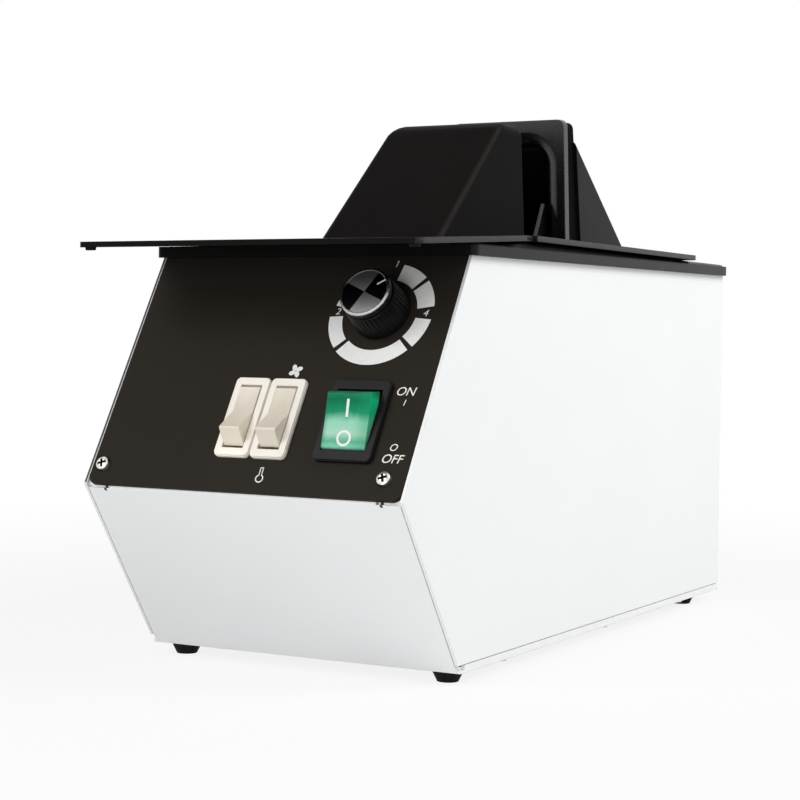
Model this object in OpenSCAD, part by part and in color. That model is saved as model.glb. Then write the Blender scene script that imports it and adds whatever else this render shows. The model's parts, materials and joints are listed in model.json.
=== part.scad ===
// Counter-top warmer for eyeglass frames: a sheet-metal housing with a sloping control
// panel, and a sliding deck whose hood closes the hot-air gap against a fixed hood.
// Inside the modules, Y = 0 is the housing's top front edge and Z = 0 its underside.

/* [Housing] */
// Width over the two side panels
body_w = 140; // [120:1:170]
// Height of the sheet-metal housing without its feet
body_h = 156; // [130:1:190]
// Depth of the housing along its top
body_d = 276; // [245:1:335]
// How far the nose stands ahead of the top front edge
nose_reach = 51.6; // [43:0.2:56]
// Height of the nose, where the control panel meets the apron
nose_z = 67.5; // [45:0.5:75]
// How far the bottom front edge stands ahead of the top front edge
toe_reach = 5.3; // [0:0.1:12]
// Thickness of the steel sheet
sheet_t = 1.2; // [0.8:0.1:2]
// Thickness of the control panel
panel_t = 1.5; // [1:0.1:2.5]
// Width of the folded flanges
flange_w = 11; // [8:0.5:14]
// Open seam between neighbouring panels
seam = 0.3; // [0.2:0.05:0.6]
// Height of the tray's side lips
lip_h = 3; // [2:0.5:5]
// Corner radius at the control panel's lower end
panel_corner_r = 3.5; // [1:0.5:6]

/* [Feet] */
// Height of a rubber foot
foot_h = 4.8; // [4.4:0.2:10]
// Diameter of a foot where it meets the tray
foot_top_d = 13; // [11:0.5:18]
// Diameter of a foot where it stands on the table
foot_tip_d = 8.2; // [7.6:0.2:10]
// Distance of the feet from the housing's sides
foot_side = 10; // [9:0.5:20]
// Distance of the front feet from the bottom front edge
foot_front = 9; // [9:0.5:25]
// Distance of the rear feet from the rear panel
foot_rear = 24; // [12:0.5:40]

/* [Top cover] */
// How far the cover's rim stands out over the side panels
rim_side = 2.5; // [1:0.5:5]
// How far the rim stands out over the control panel
rim_front = 3.2; // [2:0.2:5]
// How far the rim stands out behind the rear panel
rim_rear = 1.2; // [0.6:0.2:3]
// Height of the rim's edge
rim_h = 4.3; // [3.6:0.1:6]
// Depth of the flat pocket under the cover
pocket_h = 3.4; // [2.4:0.1:3.6]

/* [Sliding deck] */
// How far the deck stands out over each side panel
deck_side = 5; // [4:0.5:12]
// Thickness of the deck
deck_t = 2.2; // [1.5:0.1:3.5]
// How far the deck's front edge stands ahead of the housing's top front edge
deck_reach = 51; // [45:0.5:60]
// Length of the deck behind the housing's top front edge
deck_tail = 227; // [215:1:235]
// Distance of the bend from the housing's top front edge
bend_y = 43; // [38:1:50]
// Rise of the ramp that the deck slides on, in degrees
ramp = 3; // [2:0.1:4]
// Fall of the deck behind the bend, in degrees
fall = 0.37; // [0:0.01:0.8]
// Height of the deck's underside over the housing at its top front edge
deck_lift = 4.8; // [4.7:0.1:7]
// Gap between the deck and the cover's ramp
glide = 0.35; // [0.3:0.05:0.6]

/* [Hoods] */
// Width of both hoods at their foot
hood_w = 57; // [54:0.5:66]
// How far each side of the front hood leans in towards its top
hood_draft = 0.6; // [0:0.1:1.5]
// Wall thickness of the hoods
hood_t = 2.5; // [1.8:0.1:3.5]
// Height of the front hood over the deck
hood_h = 53.6; // [42:0.5:66]
// Slope of the front hood's front, in degrees
hood_slope = 42.2; // [38:0.2:48]
// Length between the ridge of the front hood and the foot of its open face
hood_flat = 14; // [10:0.5:20]
// Distance of the front hood's open face from the housing's top front edge
face_y = 133.2; // [128:0.2:140]
// Open gap between the front hood and the foot of the mouth plate
gap_open = 45; // [43:0.2:56]
// Height of the mouth plate over the cover's bed
mouth_h = 63.3; // [52:0.1:80]
// Thickness of the mouth plate's flange
mouth_t = 4.2; // [3:0.2:8]
// Forward lean of the mouth plate and of the front hood's open face, in degrees
mouth_lean = 4.5; // [0:0.5:8]
// Width of the mouth plate's rounded lip
lip_r = 6.3; // [4:0.1:7]
// Slope of the rear hood's back, in degrees
shell_slope = 37.5; // [34:0.1:42]

/* [Controls] */
// Dial centre across the panel from its middle line
dial_u = 39.4; // [30:0.2:42]
// Dial centre down the slope from the panel's top
dial_v = 25.8; // [20:0.2:30]
// Diameter of the dial knob at its foot
knob_d = 23; // [19:0.5:28]
// Diameter of the knob's metal cap
cap_d = 20; // [16:0.2:21]
// Height of the knob over the panel
knob_h = 16.5; // [14.5:0.5:20]
// Middle of the narrow rockers across the panel
pair_u = 1.1; // [-6:0.1:4]
// Spacing of the two narrow rockers
pair_pitch = 15.8; // [15.7:0.1:20]
// Middle of the power switch across the panel
power_u = 40.9; // [34:0.1:44]
// Middle of all switches down the slope
switch_v = 71.6; // [66:0.1:74]
// Width of a narrow switch's bezel
pair_w = 15.4; // [14.4:0.1:15.5]
// Width of the power switch's bezel
power_w = 24.6; // [22:0.1:28]
// Length of all bezels
bezel_l = 33.4; // [31.5:0.1:36]
// Tilt of a narrow rocker from its middle, in degrees
pair_tilt = 15; // [10:0.5:15]
// Tilt of the power rocker from its middle, in degrees
power_tilt = 17; // [10:0.5:17]
// Left panel screw from the panel's left edge
screw_left = 4.7; // [4.2:0.1:6]
// Right panel screw from the panel's right edge
screw_right = 8.4; // [4.2:0.1:9]
// Panel screws up from the nose
screw_up = 8.5; // [6:0.5:12]

/* [Blower and heater] */
// Radius of the blower wheel
wheel_r = 38; // [30:0.5:40]
// Width of the blower wheel
wheel_w = 32; // [24:1:34]
// Height of the wheel's axis over the tray
wheel_z = 66; // [64:1:72]
// Number of wheel blades
blades = 28; // [16:1:36]
// Width of the air duct
duct_w = 40; // [38:0.5:44]
// Diameter of the motor
motor_d = 48; // [36:1:52]
// Turns of the heating wire
turns = 5; // [3:1:6]

/* [Hidden] */

$fn = 48;
eps = 0.01;          // overlap of cutters past a face
fit_gap = 0.3;       // gap between pieces that move past each other
shaft_gap = 0.05;    // radial gap of a turning shaft
black = "#25231f";
gloss_black = "#1b1b1b";
white = "#f4f5f5";
cream = "#ebe2d2";
steel = "#c9ccce";
brass = "#c8a24a";

// Side view of the housing, counter-clockwise from the top front edge
housing = [[0, body_h], [-nose_reach, nose_z], [-toe_reach, 0], [body_d, 0], [body_d, body_h]];
panel_lean = atan2(nose_reach, body_h - nose_z);
panel_len = norm([nose_reach, body_h - nose_z]);
panel_w = body_w - 2 * (sheet_t + seam);
side_in = body_w / 2 - sheet_t;          // inner face of a side panel
flange_x = body_w / 2 - flange_w;        // inner edge of the folded flanges
between = flange_x - 0.5;                // half-width of what fits between the flanges

bush_flange_t = 3;
rear_end = body_d + max(bush_flange_t, rim_rear);
mid_y = (rear_end - max(nose_reach, deck_reach)) / 2;

// The deck's underside: a ramp up to the bend, then a slight fall
bend_z = body_h + deck_lift + bend_y * tan(ramp);
function under(y) = y < bend_y ? bend_z - (bend_y - y) * tan(ramp)
                               : bend_z - (y - bend_y) * tan(fall);
deck_w = body_w + 2 * deck_side;
mouth_y = face_y + gap_open;
bumper_d = 4.4;
bumper_y = 4;        // middle of a bumper behind the deck's front edge
travel = (deck_reach - bumper_y - bumper_d / 2 - rim_front) / cos(ramp);

throat = hood_w / 2 - 4 - lip_r;         // half-width of the mouth's straight throat
gusset_x = [throat - 1.6, throat + 0.1];
hood_throat = throat + 2.1;              // the front hood's throat passes outside the gussets
outlet_x = throat - 1.7;                 // half-width of the air outlet and of the deck's passage
fork_x = hood_w / 2 + 2;
outlet = [face_y - 38, mouth_y + 22];
duct_x = max(duct_w / 2, outlet_x + sheet_t + 0.3);

neck = [face_y, mouth_y + 1];            // the duct's narrow lower end, front and rear
wheel_y = neck[1] + 20;
scroll_top = wheel_z + wheel_r + 8;
scroll_w = 2 * duct_x + 2 * sheet_t;
ceiling = body_h + pocket_h;
guard_t = 1;
guard_z = ceiling - guard_t;
duct_top = guard_z - sheet_t;

runner_x = 44;
runner_y = 20;       // middle of a runner's neck when the deck is drawn out
runner_l = 12;
runner_w = 6;
rail_w = 4.5;
rail_d = 5.5;        // depth of the guide rails under the deck's ramp plane
runner_foot = 2.2;
end_play = 0.8;      // spare length at each end of a runner's slot

pivot_pair = -3.5;   // height of the narrow rockers' pivot over the panel
pivot_power = -1.3;
pin_r = 1.4;

// ---------------------------------------------------------------- helpers

// Puts the housing's own coordinates into the part's frame: on the table, centred
module home() translate([0, -mid_y, foot_h]) children();

// Extrudes a side view (Y, Z) across the width
module across(x0, x1) translate([x0, 0, 0]) rotate([90, 0, 90]) linear_extrude(x1 - x0) children();

// Extrudes a front view (X, Z) from y0 back to y1
module rearward(y0, y1) translate([0, y1, 0]) rotate([90, 0, 0]) linear_extrude(y1 - y0) children();

module upward(z0, z1) translate([0, 0, z0]) linear_extrude(z1 - z0) children();

module both_sides() {
    children();
    mirror([1, 0, 0]) children();
}

module on_panel(u = 0, v = 0)
    translate([0, 0, body_h]) rotate([90 - panel_lean, 0, 0]) translate([u, -v, 0]) children();

// Frame of the deck's ramp, and of its stretch behind the bend
module on_ramp(y = 0, z = 0)
    translate([0, bend_y, bend_z]) rotate([ramp, 0, 0]) translate([0, y - bend_y, z]) children();
module on_fall(y = 0, z = 0)
    translate([0, bend_y, bend_z]) rotate([-fall, 0, 0]) translate([0, y - bend_y, z]) children();

// Moves each edge of a counter-clockwise outline inwards by its own gap
function shifted(p, q, gap) = let (d = (q - p) / norm(q - p)) p + gap * [-d[1], d[0]];
function meet(p, d, q, e) = p + d * cross(q - p, e) / cross(d, e);
function inset(pts, gaps) = let (n = len(pts)) [
    for (i = [0 : n - 1])
        let (a = pts[(i + n - 1) % n], b = pts[i], c = pts[(i + 1) % n])
            meet(shifted(a, b, gaps[(i + n - 1) % n]), b - a, shifted(b, c, gaps[i]), c - b)
];

module round_rect(size, r) {
    square([size[0] - 2 * r, size[1]], center = true);
    square([size[0], size[1] - 2 * r], center = true);
    for (sx = [-1, 1], sy = [-1, 1])
        translate([sx * (size[0] / 2 - r), sy * (size[1] / 2 - r)]) circle(r);
}

// A rectangle from x0, y0 to x1, y1 with rounded corners
module round_box(x0, y0, x1, y1, r)
    translate([(x0 + x1) / 2, (y0 + y1) / 2]) round_rect([x1 - x0, y1 - y0], r);

module slot(l, w) {
    square([l - w, w], center = true);
    for (s = [-1, 1]) translate([s * (l - w) / 2, 0]) circle(w / 2);
}

// Arch standing on y = 0, half-width half, with its upper corners rounded
module arch(half, top, r) {
    translate([-half, 0]) square([2 * half, top - r]);
    translate([r - half, 0]) square([2 * (half - r), top]);
    for (s = [-1, 1]) translate([s * (half - r), top - r]) circle(r);
}

// Screw with its head's seat at z = 0 and its shank going down
module screw(shank_r, l, head_r, head_t) {
    translate([0, 0, -l]) cylinder(r = shank_r, h = l, $fn = 24);
    cylinder(r = head_r, h = head_t, $fn = 24);
}
module flush_screw(shank_r, l, head_r, head_t) {
    translate([0, 0, -l]) cylinder(r = shank_r, h = l, $fn = 24);
    translate([0, 0, -head_t]) cylinder(r1 = shank_r, r2 = head_r, h = head_t, $fn = 24);
}

// ---------------------------------------------------------------- housing

foot_x = body_w / 2 - foot_side;
foot_ys = [foot_front - toe_reach, body_d - foot_rear];
tray_screw_ys = [40, body_d / 2 + 4, body_d - 42];
flange_mid = (flange_x + side_in) / 2;
intake_y = wheel_y + 4;

module base_tray() color(white) home() {
    apron_top = panel_len - 14;
    outer = inset(housing, [panel_t, 0, 0, 0, 0]);
    inner = inset(housing, [panel_t + sheet_t, sheet_t, 0, 0, 0]);
    up = [sin(panel_lean), cos(panel_lean)];
    difference() {
        union() {
            upward(0, sheet_t)
                translate([-body_w / 2, -toe_reach]) square([body_w, body_d + toe_reach - seam]);
            both_sides() translate([side_in, -toe_reach + lip_h, 0])
                cube([sheet_t, body_d + toe_reach - lip_h - seam, lip_h]);
            across(-panel_w / 2, panel_w / 2)
                polygon([outer[1], housing[2], inner[2], inner[1]]);
            across(-between, between)
                polygon([outer[1], inner[1], inner[1] + up * 14, outer[1] + up * 14]);
            translate([-between, body_d - 2 * sheet_t, 0]) cube([2 * between, sheet_t, 12]);
        }
        for (y = tray_screw_ys) both_sides() translate([flange_mid, y, -eps])
            cylinder(r = 1.8, h = sheet_t + 1, $fn = 24);
        for (y = foot_ys) both_sides() translate([foot_x, y, -eps])
            cylinder(r = 1.7, h = sheet_t + 1, $fn = 24);
        for (i = [-3 : 3]) translate([between / 2 + 14, intake_y + i * 8, -1])
            upward(0, sheet_t + 2) slot(34, 3.4);
        on_panel(panel_screw_u[1], panel_screw_v) translate([0, 0, -8]) cylinder(r = 1.6, h = 8);
        on_panel(panel_screw_u[0], panel_screw_v) translate([0, 0, -8]) cylinder(r = 1.6, h = 8);
    }
}

panel_screw_u = [-panel_w / 2 + screw_left, panel_w / 2 - screw_right];
panel_screw_v = panel_len - screw_up;
rear_screw_zs = [20, body_h - 22];
cover_screw_ys = [70, body_d - 46];

module side_panel() {
    skin = inset(housing, [0, 0, lip_h + seam, 0, 0]);
    rim_out = inset(housing, [panel_t, sheet_t, sheet_t, sheet_t, 0]);
    rim_in = inset(housing, [panel_t + sheet_t, 2 * sheet_t, 2 * sheet_t, 2 * sheet_t, sheet_t]);
    difference() {
        union() {
            across(side_in, body_w / 2) polygon(skin);
            across(flange_x, side_in) difference() {
                polygon(rim_out);
                polygon(rim_in);
            }
            translate([side_in - sheet_t, 0, sheet_t])
                cube([sheet_t, body_d - 2 * sheet_t, lip_h + 4]);
        }
        for (y = tray_screw_ys) translate([flange_mid, y, 0]) cylinder(r = 1.6, h = 6, $fn = 24);
        for (y = foot_ys) translate([foot_x, y, 0]) cylinder(r = 3.4, h = 6, $fn = 24);
        for (z = rear_screw_zs) translate([flange_mid, body_d + 1, z]) rotate([90, 0, 0])
            cylinder(r = 1.6, h = 6, $fn = 24);
        for (y = cover_screw_ys) translate([flange_mid, y, body_h - 4])
            cylinder(r = 1.8, h = 6, $fn = 24);
        for (u = panel_screw_u) on_panel(abs(u), panel_screw_v) translate([0, 0, -8])
            cylinder(r = 1.6, h = 8, $fn = 24);
    }
}
module side_panel_right() color(white) home() side_panel();
module side_panel_left() color(white) home() mirror([1, 0, 0]) side_panel();

bush_at = [-42, 30];
louvre_l = 36;
module rear_panel() color(white) home() difference() {
    translate([-panel_w / 2, body_d - sheet_t, sheet_t + seam])
        cube([panel_w, sheet_t, body_h - sheet_t - 2 * seam]);
    rearward(body_d - 3, body_d + 1) {
        for (row = [0 : 8], side = [-1, 1])
            translate([14 + side * (louvre_l / 2 + 3), wheel_z + (row - 4) * 8]) slot(louvre_l, 3.4);
        for (z = rear_screw_zs, s = [-1, 1]) translate([s * flange_mid, z]) circle(1.7, $fn = 24);
        translate(bush_at) circle(6.2);
    }
}

module rear_panel_screws() color(steel) home()
    for (z = rear_screw_zs, s = [-1, 1]) translate([s * flange_mid, body_d, z])
        rotate([-90, 0, 0]) screw(1.5, 7, 2.9, 1.8);

module tray_screws() color(steel) home()
    for (y = tray_screw_ys) both_sides() translate([flange_mid, y, 0])
        rotate([180, 0, 0]) screw(1.5, 6, 2.9, 1.8);

module control_panel() color(black) home() difference() {
    union() {
        on_panel() upward(-panel_t, 0) {
            r = panel_corner_r;
            translate([-panel_w / 2, r - panel_len]) square([panel_w, panel_len - r]);
            translate([r - panel_w / 2, seam - panel_len]) square([panel_w - 2 * r, panel_len - seam]);
            for (s = [-1, 1]) translate([s * (panel_w / 2 - r), r + seam - panel_len]) circle(r);
        }
        across(-between, between) polygon([
            [0, body_h], [panel_t * cos(panel_lean), body_h - panel_t], [9, body_h - panel_t], [9, body_h]
        ]);
    }
    on_panel(dial_u, dial_v) translate([0, 0, -4]) cylinder(r = 4.6, h = 8);
    for (u = pair_us) on_panel(u, switch_v) translate([0, 0, -2])
        cube([pair_body_w + 0.4, body_l + 0.4, 8], center = true);
    on_panel(power_u, switch_v) translate([0, 0, -2])
        cube([power_body_w + 0.4, body_l + 0.4, 8], center = true);
    for (u = panel_screw_u) on_panel(u, panel_screw_v) translate([0, 0, -4])
        cylinder(r = 1.7, h = 8, $fn = 24);
}

// Pan head with a cross recess
module panel_screws() color(steel) home()
    for (u = panel_screw_u) on_panel(u, panel_screw_v) difference() {
        union() {
            translate([0, 0, -7]) cylinder(r = 1.5, h = 7, $fn = 24);
            cylinder(r1 = 3.1, r2 = 2.6, h = 1.4);
            translate([0, 0, 1.4]) cylinder(r1 = 2.6, r2 = 1.5, h = 0.5);
        }
        for (a = [20, 110]) rotate([0, 0, a]) translate([0, 0, 1.6])
            cube([3.6, 0.7, 1.6], center = true);
    }

module foot(sx, y) color(gloss_black) home() translate([sx * foot_x, y, -foot_h])
    difference() {
        cylinder(d1 = foot_tip_d, d2 = foot_top_d, h = foot_h);
        translate([0, 0, -1]) cylinder(r = 2.9, h = foot_h - 1.6, $fn = 32);
        cylinder(r = 1.7, h = foot_h + 1, $fn = 24);
    }
module foot_front_left() foot(-1, foot_ys[0]);
module foot_front_right() foot(1, foot_ys[0]);
module foot_rear_left() foot(-1, foot_ys[1]);
module foot_rear_right() foot(1, foot_ys[1]);

// Pan screws up through the feet, each with its nut on the tray
module foot_screws() color(steel) home()
    for (y = foot_ys) both_sides() translate([foot_x, y, 0]) {
        translate([0, 0, -2.6]) rotate([180, 0, 0]) screw(1.5, 8, 2.6, 1.6);
        translate([0, 0, sheet_t]) cylinder(r = 3.1, h = 2.2, $fn = 6);
    }

module cord_bush() color(gloss_black) home()
    translate([bush_at[0], body_d, bush_at[1]]) rotate([-90, 0, 0]) difference() {
        union() {
            cylinder(r1 = 8.4, r2 = 7.4, h = bush_flange_t);
            translate([0, 0, -4]) cylinder(r = 6, h = 5);
            translate([0, 0, -4]) cylinder(r1 = 6.2, r2 = 7.4, h = 4 - sheet_t);
        }
        translate([0, 0, -10]) cylinder(r = 4, h = 20);
    }

// ---------------------------------------------------------------- top cover

cover_y0 = -rim_front;
cover_y1 = body_d + rim_rear;
cover_w = body_w + 2 * rim_side;
bed_end = body_d - 4;
bed_edge = 1.8;      // how far the bed's rounded edge runs in from the rim
mouth_screw = [duct_x + 3.4, mouth_y + 9];
shell_x = hood_w / 2 - 5.2;
shell_screws = [[-shell_x, mouth_y + 43], [shell_x, mouth_y + 43], [0, mouth_y + 62]];
duct_screws = [for (y = [outlet[0] - 4.4, outlet[1] + 4.6], s = [-1, 1]) [s * 10, y]];

// Side view of the bed, dropped below the deck's glide plane
function bed(drop) = [
    [cover_y0 + 2, body_h + 1], [bed_end + 2, body_h + 1],
    [bed_end, under(bed_end) - glide - drop], [bend_y, bend_z - glide - drop],
    [cover_y0 + 2, under(cover_y0 + 2) - glide - drop]
];

module runner_slot(w, extra) {
    y0 = runner_y - runner_l / 2 - extra;
    y1 = runner_y + runner_l / 2 + travel * cos(ramp) + extra;
    both_sides() round_box(runner_x - w / 2, y0, runner_x + w / 2, y1, 1);
}

module top_cover() color(black) home() difference() {
    union() {
        upward(body_h, body_h + rim_h) round_box(-cover_w / 2, cover_y0, cover_w / 2, cover_y1, 4);
        hull() for (step = [0 : 3]) {
            in = bed_edge * (1 - cos(step * 30));
            across(in - cover_w / 2 + 0.8, cover_w / 2 - 0.8 - in)
                polygon(bed(bed_edge * (1 - sin(step * 30))));
        }
    }
    difference() {
        upward(body_h - 1, ceiling) round_box(-between, 10, between, body_d - 6, 3);
        across(-between, between) polygon([
            [0, under(0) - rail_d], [body_d / 3, bend_z + (body_d / 3 - bend_y) * tan(ramp) - rail_d],
            [body_d / 3, bend_z + 9], [0, bend_z + 9]
        ]);
    }
    upward(body_h - 1, ceiling) difference() {
        round_box(-between, 10, between, body_d - 6, 3);
        runner_slot(runner_w + 2 * fit_gap + 2 * rail_w, 3);
    }
    upward(body_h - 1, bend_z + 2) runner_slot(runner_w + 2 * fit_gap, end_play);
    upward(body_h - 1, bend_z + 2) round_box(-outlet_x, outlet[0], outlet_x, outlet[1], 4);
    both_sides() translate([mouth_screw[0], mouth_screw[1], body_h]) cylinder(r = 1.7, h = 12, $fn = 24);
    for (p = duct_screws) translate([p[0], p[1], body_h]) cylinder(r = 1.3, h = pocket_h + 1.2, $fn = 24);
    for (p = shell_screws) translate([p[0], p[1], body_h]) cylinder(r = 1.7, h = 12, $fn = 24);
    for (y = cover_screw_ys) both_sides() translate([flange_mid, y, body_h - 1])
        cylinder(r = 1.6, h = 4.2, $fn = 24);
}

module cover_screws() color(steel) home()
    for (y = cover_screw_ys) both_sides() translate([flange_mid, y, body_h - sheet_t])
        rotate([180, 0, 0]) screw(1.5, 4, 2.9, 1.8);

// Plan of the duct's flange and of the guard that lies on it
module flange_plan() difference() {
    round_box(-duct_x - 5, outlet[0] - 7, duct_x + 5, outlet[1] + 7, 3);
    both_sides() translate(mouth_screw) circle(3.2);
    for (p = duct_screws) translate(p) circle(1.4, $fn = 24);
}

module outlet_guard() color(steel) home() difference() {
    upward(guard_z, ceiling) flange_plan();
    upward(guard_z - 1, ceiling + 1) {
        n = floor((outlet[1] - outlet[0] - 4) / 6.2);
        for (i = [0 : n - 1], s = [-1, 1])
            translate([s * outlet_x / 2, (outlet[0] + outlet[1]) / 2 + (i - (n - 1) / 2) * 6.2])
                slot(outlet_x - 2.5, 3.4);
    }
}

module duct_screws() color(steel) home() for (p = duct_screws) translate([p[0], p[1], duct_top])
    rotate([180, 0, 0]) screw(1.2, 3.2, 2.2, 1.4);

// ---------------------------------------------------------------- sliding deck

hood_screws = [[-13, face_y - 60], [13, face_y - 60],
    [3.5 - hood_w / 2 + 1.7, face_y - 30], [hood_w / 2 - 5.2, face_y - 30]];

module slide_deck() color(black) home() difference() {
    intersection() {
        across(-deck_w / 2, deck_w / 2) polygon([
            [-deck_reach, under(-deck_reach)], [bend_y, bend_z], [deck_tail, under(deck_tail)],
            [deck_tail, under(deck_tail) + deck_t], [bend_y, bend_z + deck_t],
            [-deck_reach, under(-deck_reach) + deck_t]
        ]);
        upward(body_h, bend_z + 10) round_box(-deck_w / 2, -deck_reach, deck_w / 2, deck_tail, 4);
    }
    upward(body_h, bend_z + 12) {
        round_box(-fork_x, face_y + fit_gap, fork_x, deck_tail + 20, 3);
        round_box(-hood_throat - 1, face_y - 18, hood_throat + 1, face_y + 10, 1);
        round_box(-outlet_x, face_y - 50, outlet_x, face_y, 4);
        both_sides() round_box(deck_w / 2 - 2.5, bend_y - 6, deck_w / 2 + 5, bend_y + 3.4, 1);
    }
    for (p = hood_screws) on_fall(p[1], 0) translate([p[0], 0, -eps]) {
        cylinder(r = 1.7, h = 6, $fn = 24);
        cylinder(r1 = 3.1, r2 = 1.7, h = 1.5, $fn = 24);
    }
    both_sides() on_ramp(runner_y, 0) for (s = [-1, 1]) translate([runner_x, s * 3, 0]) {
        translate([0, 0, -2]) cylinder(r = 1.2, h = 6, $fn = 24);
        translate([0, 0, deck_t - 1.3]) cylinder(r1 = 1.2, r2 = 2.5, h = 1.3 + eps, $fn = 24);
    }
    both_sides() on_ramp(bumper_y - deck_reach, 0) translate([bumper_x, 0, -2])
        cylinder(r = 1.3, h = 6, $fn = 24);
}

bumper_x = body_w / 2 + 1;
module deck_bumpers() color(gloss_black) home()
    both_sides() on_ramp(bumper_y - deck_reach, 0) translate([bumper_x, 0, 0]) {
        translate([0, 0, -1.2]) cylinder(r1 = bumper_d / 2 - 0.3, r2 = bumper_d / 2, h = 1.2);
        cylinder(r = 1.25, h = deck_t - 0.3, $fn = 24);
    }

module deck_runners() color("#dcd9cf") home()
    both_sides() on_ramp(runner_y, 0) difference() {
        union() {
            translate([runner_x - runner_w / 2, -runner_l / 2, -rail_d - fit_gap - eps])
                cube([runner_w, runner_l, rail_d + fit_gap]);
            translate([runner_x - runner_w / 2 - rail_w + 0.5, -runner_l / 2, -rail_d - fit_gap - runner_foot])
                cube([runner_w + 2 * rail_w - 1, runner_l, runner_foot]);
        }
        for (s = [-1, 1]) translate([runner_x, s * 3, -6]) cylinder(r = 1.2, h = 8, $fn = 24);
    }

module runner_screws() color(gloss_black) home()
    both_sides() on_ramp(runner_y, 0) for (s = [-1, 1]) translate([runner_x, s * 3, deck_t])
        flush_screw(1.1, 7, 2.4, 1.3);

// ---------------------------------------------------------------- hoods

// Half-width of the front hood at a height over the deck
function hood_side(z) = hood_w / 2 - hood_draft * z / hood_h;

// Rounded block with leaning sides: spheres along the ridge arc, discs and posts behind it.
// It runs on past the open face, which is cut off later.
module hood_form(grow) {
    top = hood_h + grow;
    bow = 18 + grow;     // radius of the ridge
    rear = face_y + 3;
    foot_y = face_y - hood_flat - hood_h / tan(hood_slope) - 18 * tan(hood_slope / 2)
        - grow / sin(hood_slope);
    arc_y = foot_y + top / tan(hood_slope) + bow * tan(hood_slope / 2);
    hull() for (s = [-1, 1]) {
        for (a = [0 : 0.25 : 1]) {
            r = ridge_corner + grow / 2 - (ridge_corner - slope_corner) * a;
            z = top - bow + (bow - r) * cos(a * hood_slope);
            translate([s * (hood_side(z) + grow - r), arc_y - (bow - r) * sin(a * hood_slope), z])
                sphere(r, $fn = 32);
        }
        r = ridge_corner + grow / 2;
        translate([s * (hood_side(top - r) + grow - r), rear, top - r]) rotate([90, 0, 0])
            cylinder(r = r, h = 1);
        translate([s * (hood_side(-2) + grow - 1) - 1, rear - 1, -2]) cube([2, 1, 1]);
        translate([s * (hood_side(-2) + grow - 2), foot_y + 2 - 1 / tan(hood_slope), -2])
            cylinder(r = 2, h = 1, $fn = 24);
    }
}
ridge_corner = 6.5;
slope_corner = 2.6;

// All that lies behind the front hood's leaning open face, or behind a wall of thickness t
module behind_face(t) across(-100, 100) polygon([
    [face_y - t + 10 * tan(mouth_lean), -10], [face_y + 40, -10], [face_y + 40, hood_h + 20],
    [face_y - t - (hood_h + 20) * tan(mouth_lean), hood_h + 20]
]);

// Flared mouth cut into a wall that starts at y = 0
module mouth_cut(half, top, r, lip, depth) {
    function out(i) = lip * (1 - sin(22.5 * i));
    function deep(i) = lip * (1 - cos(22.5 * i));
    rearward(-1, depth) arch(half, top, r);
    for (i = [0 : 3]) hull() for (j = [i, i + 1])
        rearward(deep(j) - (j == 0 ? 1 : 0), deep(j) + eps) arch(half + out(j), top + out(j), r + out(j));
}

module front_hood() color(black) home() on_fall(bend_y, deck_t) translate([0, -bend_y, 0])
    difference() {
        union() {
            difference() {
                hood_form(0);
                difference() {
                    hood_form(-hood_t);
                    behind_face(3);
                }
            }
            intersection() {
                hood_form(-hood_t / 2);
                for (p = hood_screws) translate([p[0], p[1], 0]) cylinder(r = 3.2, h = 12, $fn = 24);
            }
        }
        behind_face(0);
        translate([-100, 0, -20]) cube([200, 300, 20]);
        rearward(face_y - 16, face_y + 1) translate([0, -1]) arch(hood_throat, hood_h - 4.5, 9);
        for (p = hood_screws) translate([p[0], p[1], -eps]) cylinder(r = 1.25, h = 8, $fn = 24);
    }

module front_hood_screws() color(gloss_black) home()
    for (p = hood_screws) on_fall(p[1], 0) translate([p[0], 0, 0])
        rotate([180, 0, 0]) flush_screw(1.2, 8, 3, 1.5);

// Height of the rear hood's back over the bed, at y
shell_apex = [mouth_y + 9.7, mouth_h - 9.1];
shell_front = 9.1;   // how far the shell's front edge runs back from its apex to 5 mm under the bed
function back_z(y, drop = 0) = shell_apex[1] - (y - shell_apex[0]) * tan(shell_slope)
    - drop / cos(shell_slope);
shell_foot_y = shell_apex[0] + shell_apex[1] / tan(shell_slope);

module shell_form(grow, r) {
    half = hood_w / 2 + grow;
    front = mouth_y - 8;
    hull() for (s = [-1, 1]) {
        for (y = [front, shell_foot_y - 26])
            translate([s * (half - r), y, back_z(y, r - grow)]) sphere(r, $fn = 32);
        translate([s * (half - 1.5), front, -2]) cylinder(r = 1.5, h = 1, $fn = 24);
        translate([s * (half - 1.5), shell_foot_y - 1.5 + grow * 1.6, -2])
            cylinder(r = 1.5, h = 1, $fn = 24);
    }
}

// All that lies ahead of the shell's front edge, less a gap
module ahead_of_shell(gap) across(-100, 100) {
    rise = shell_apex[1] + 5;
    polygon([
        [mouth_y - 40, -5], [shell_apex[0] + shell_front - gap, -5],
        [shell_apex[0] - gap - shell_front * (mouth_h + 25 - rise) / rise, mouth_h + 20],
        [mouth_y - 40, mouth_h + 20]
    ]);
}

module rear_hood() color(black) home() on_fall(bend_y, -glide) translate([0, -bend_y, 0])
    difference() {
        union() {
            difference() {
                shell_form(0, 2);
                shell_form(-hood_t, 1);
            }
            intersection() {
                shell_form(-hood_t / 2, 1.5);
                for (p = shell_screws) translate([p[0], p[1], 0]) cylinder(r = 3.4, h = 12, $fn = 24);
            }
        }
        translate([-100, 0, -20]) cube([200, 400, 20]);
        ahead_of_shell(0);
        for (p = shell_screws) translate([p[0], p[1], -eps]) cylinder(r = 1.25, h = 8, $fn = 24);
    }

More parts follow.
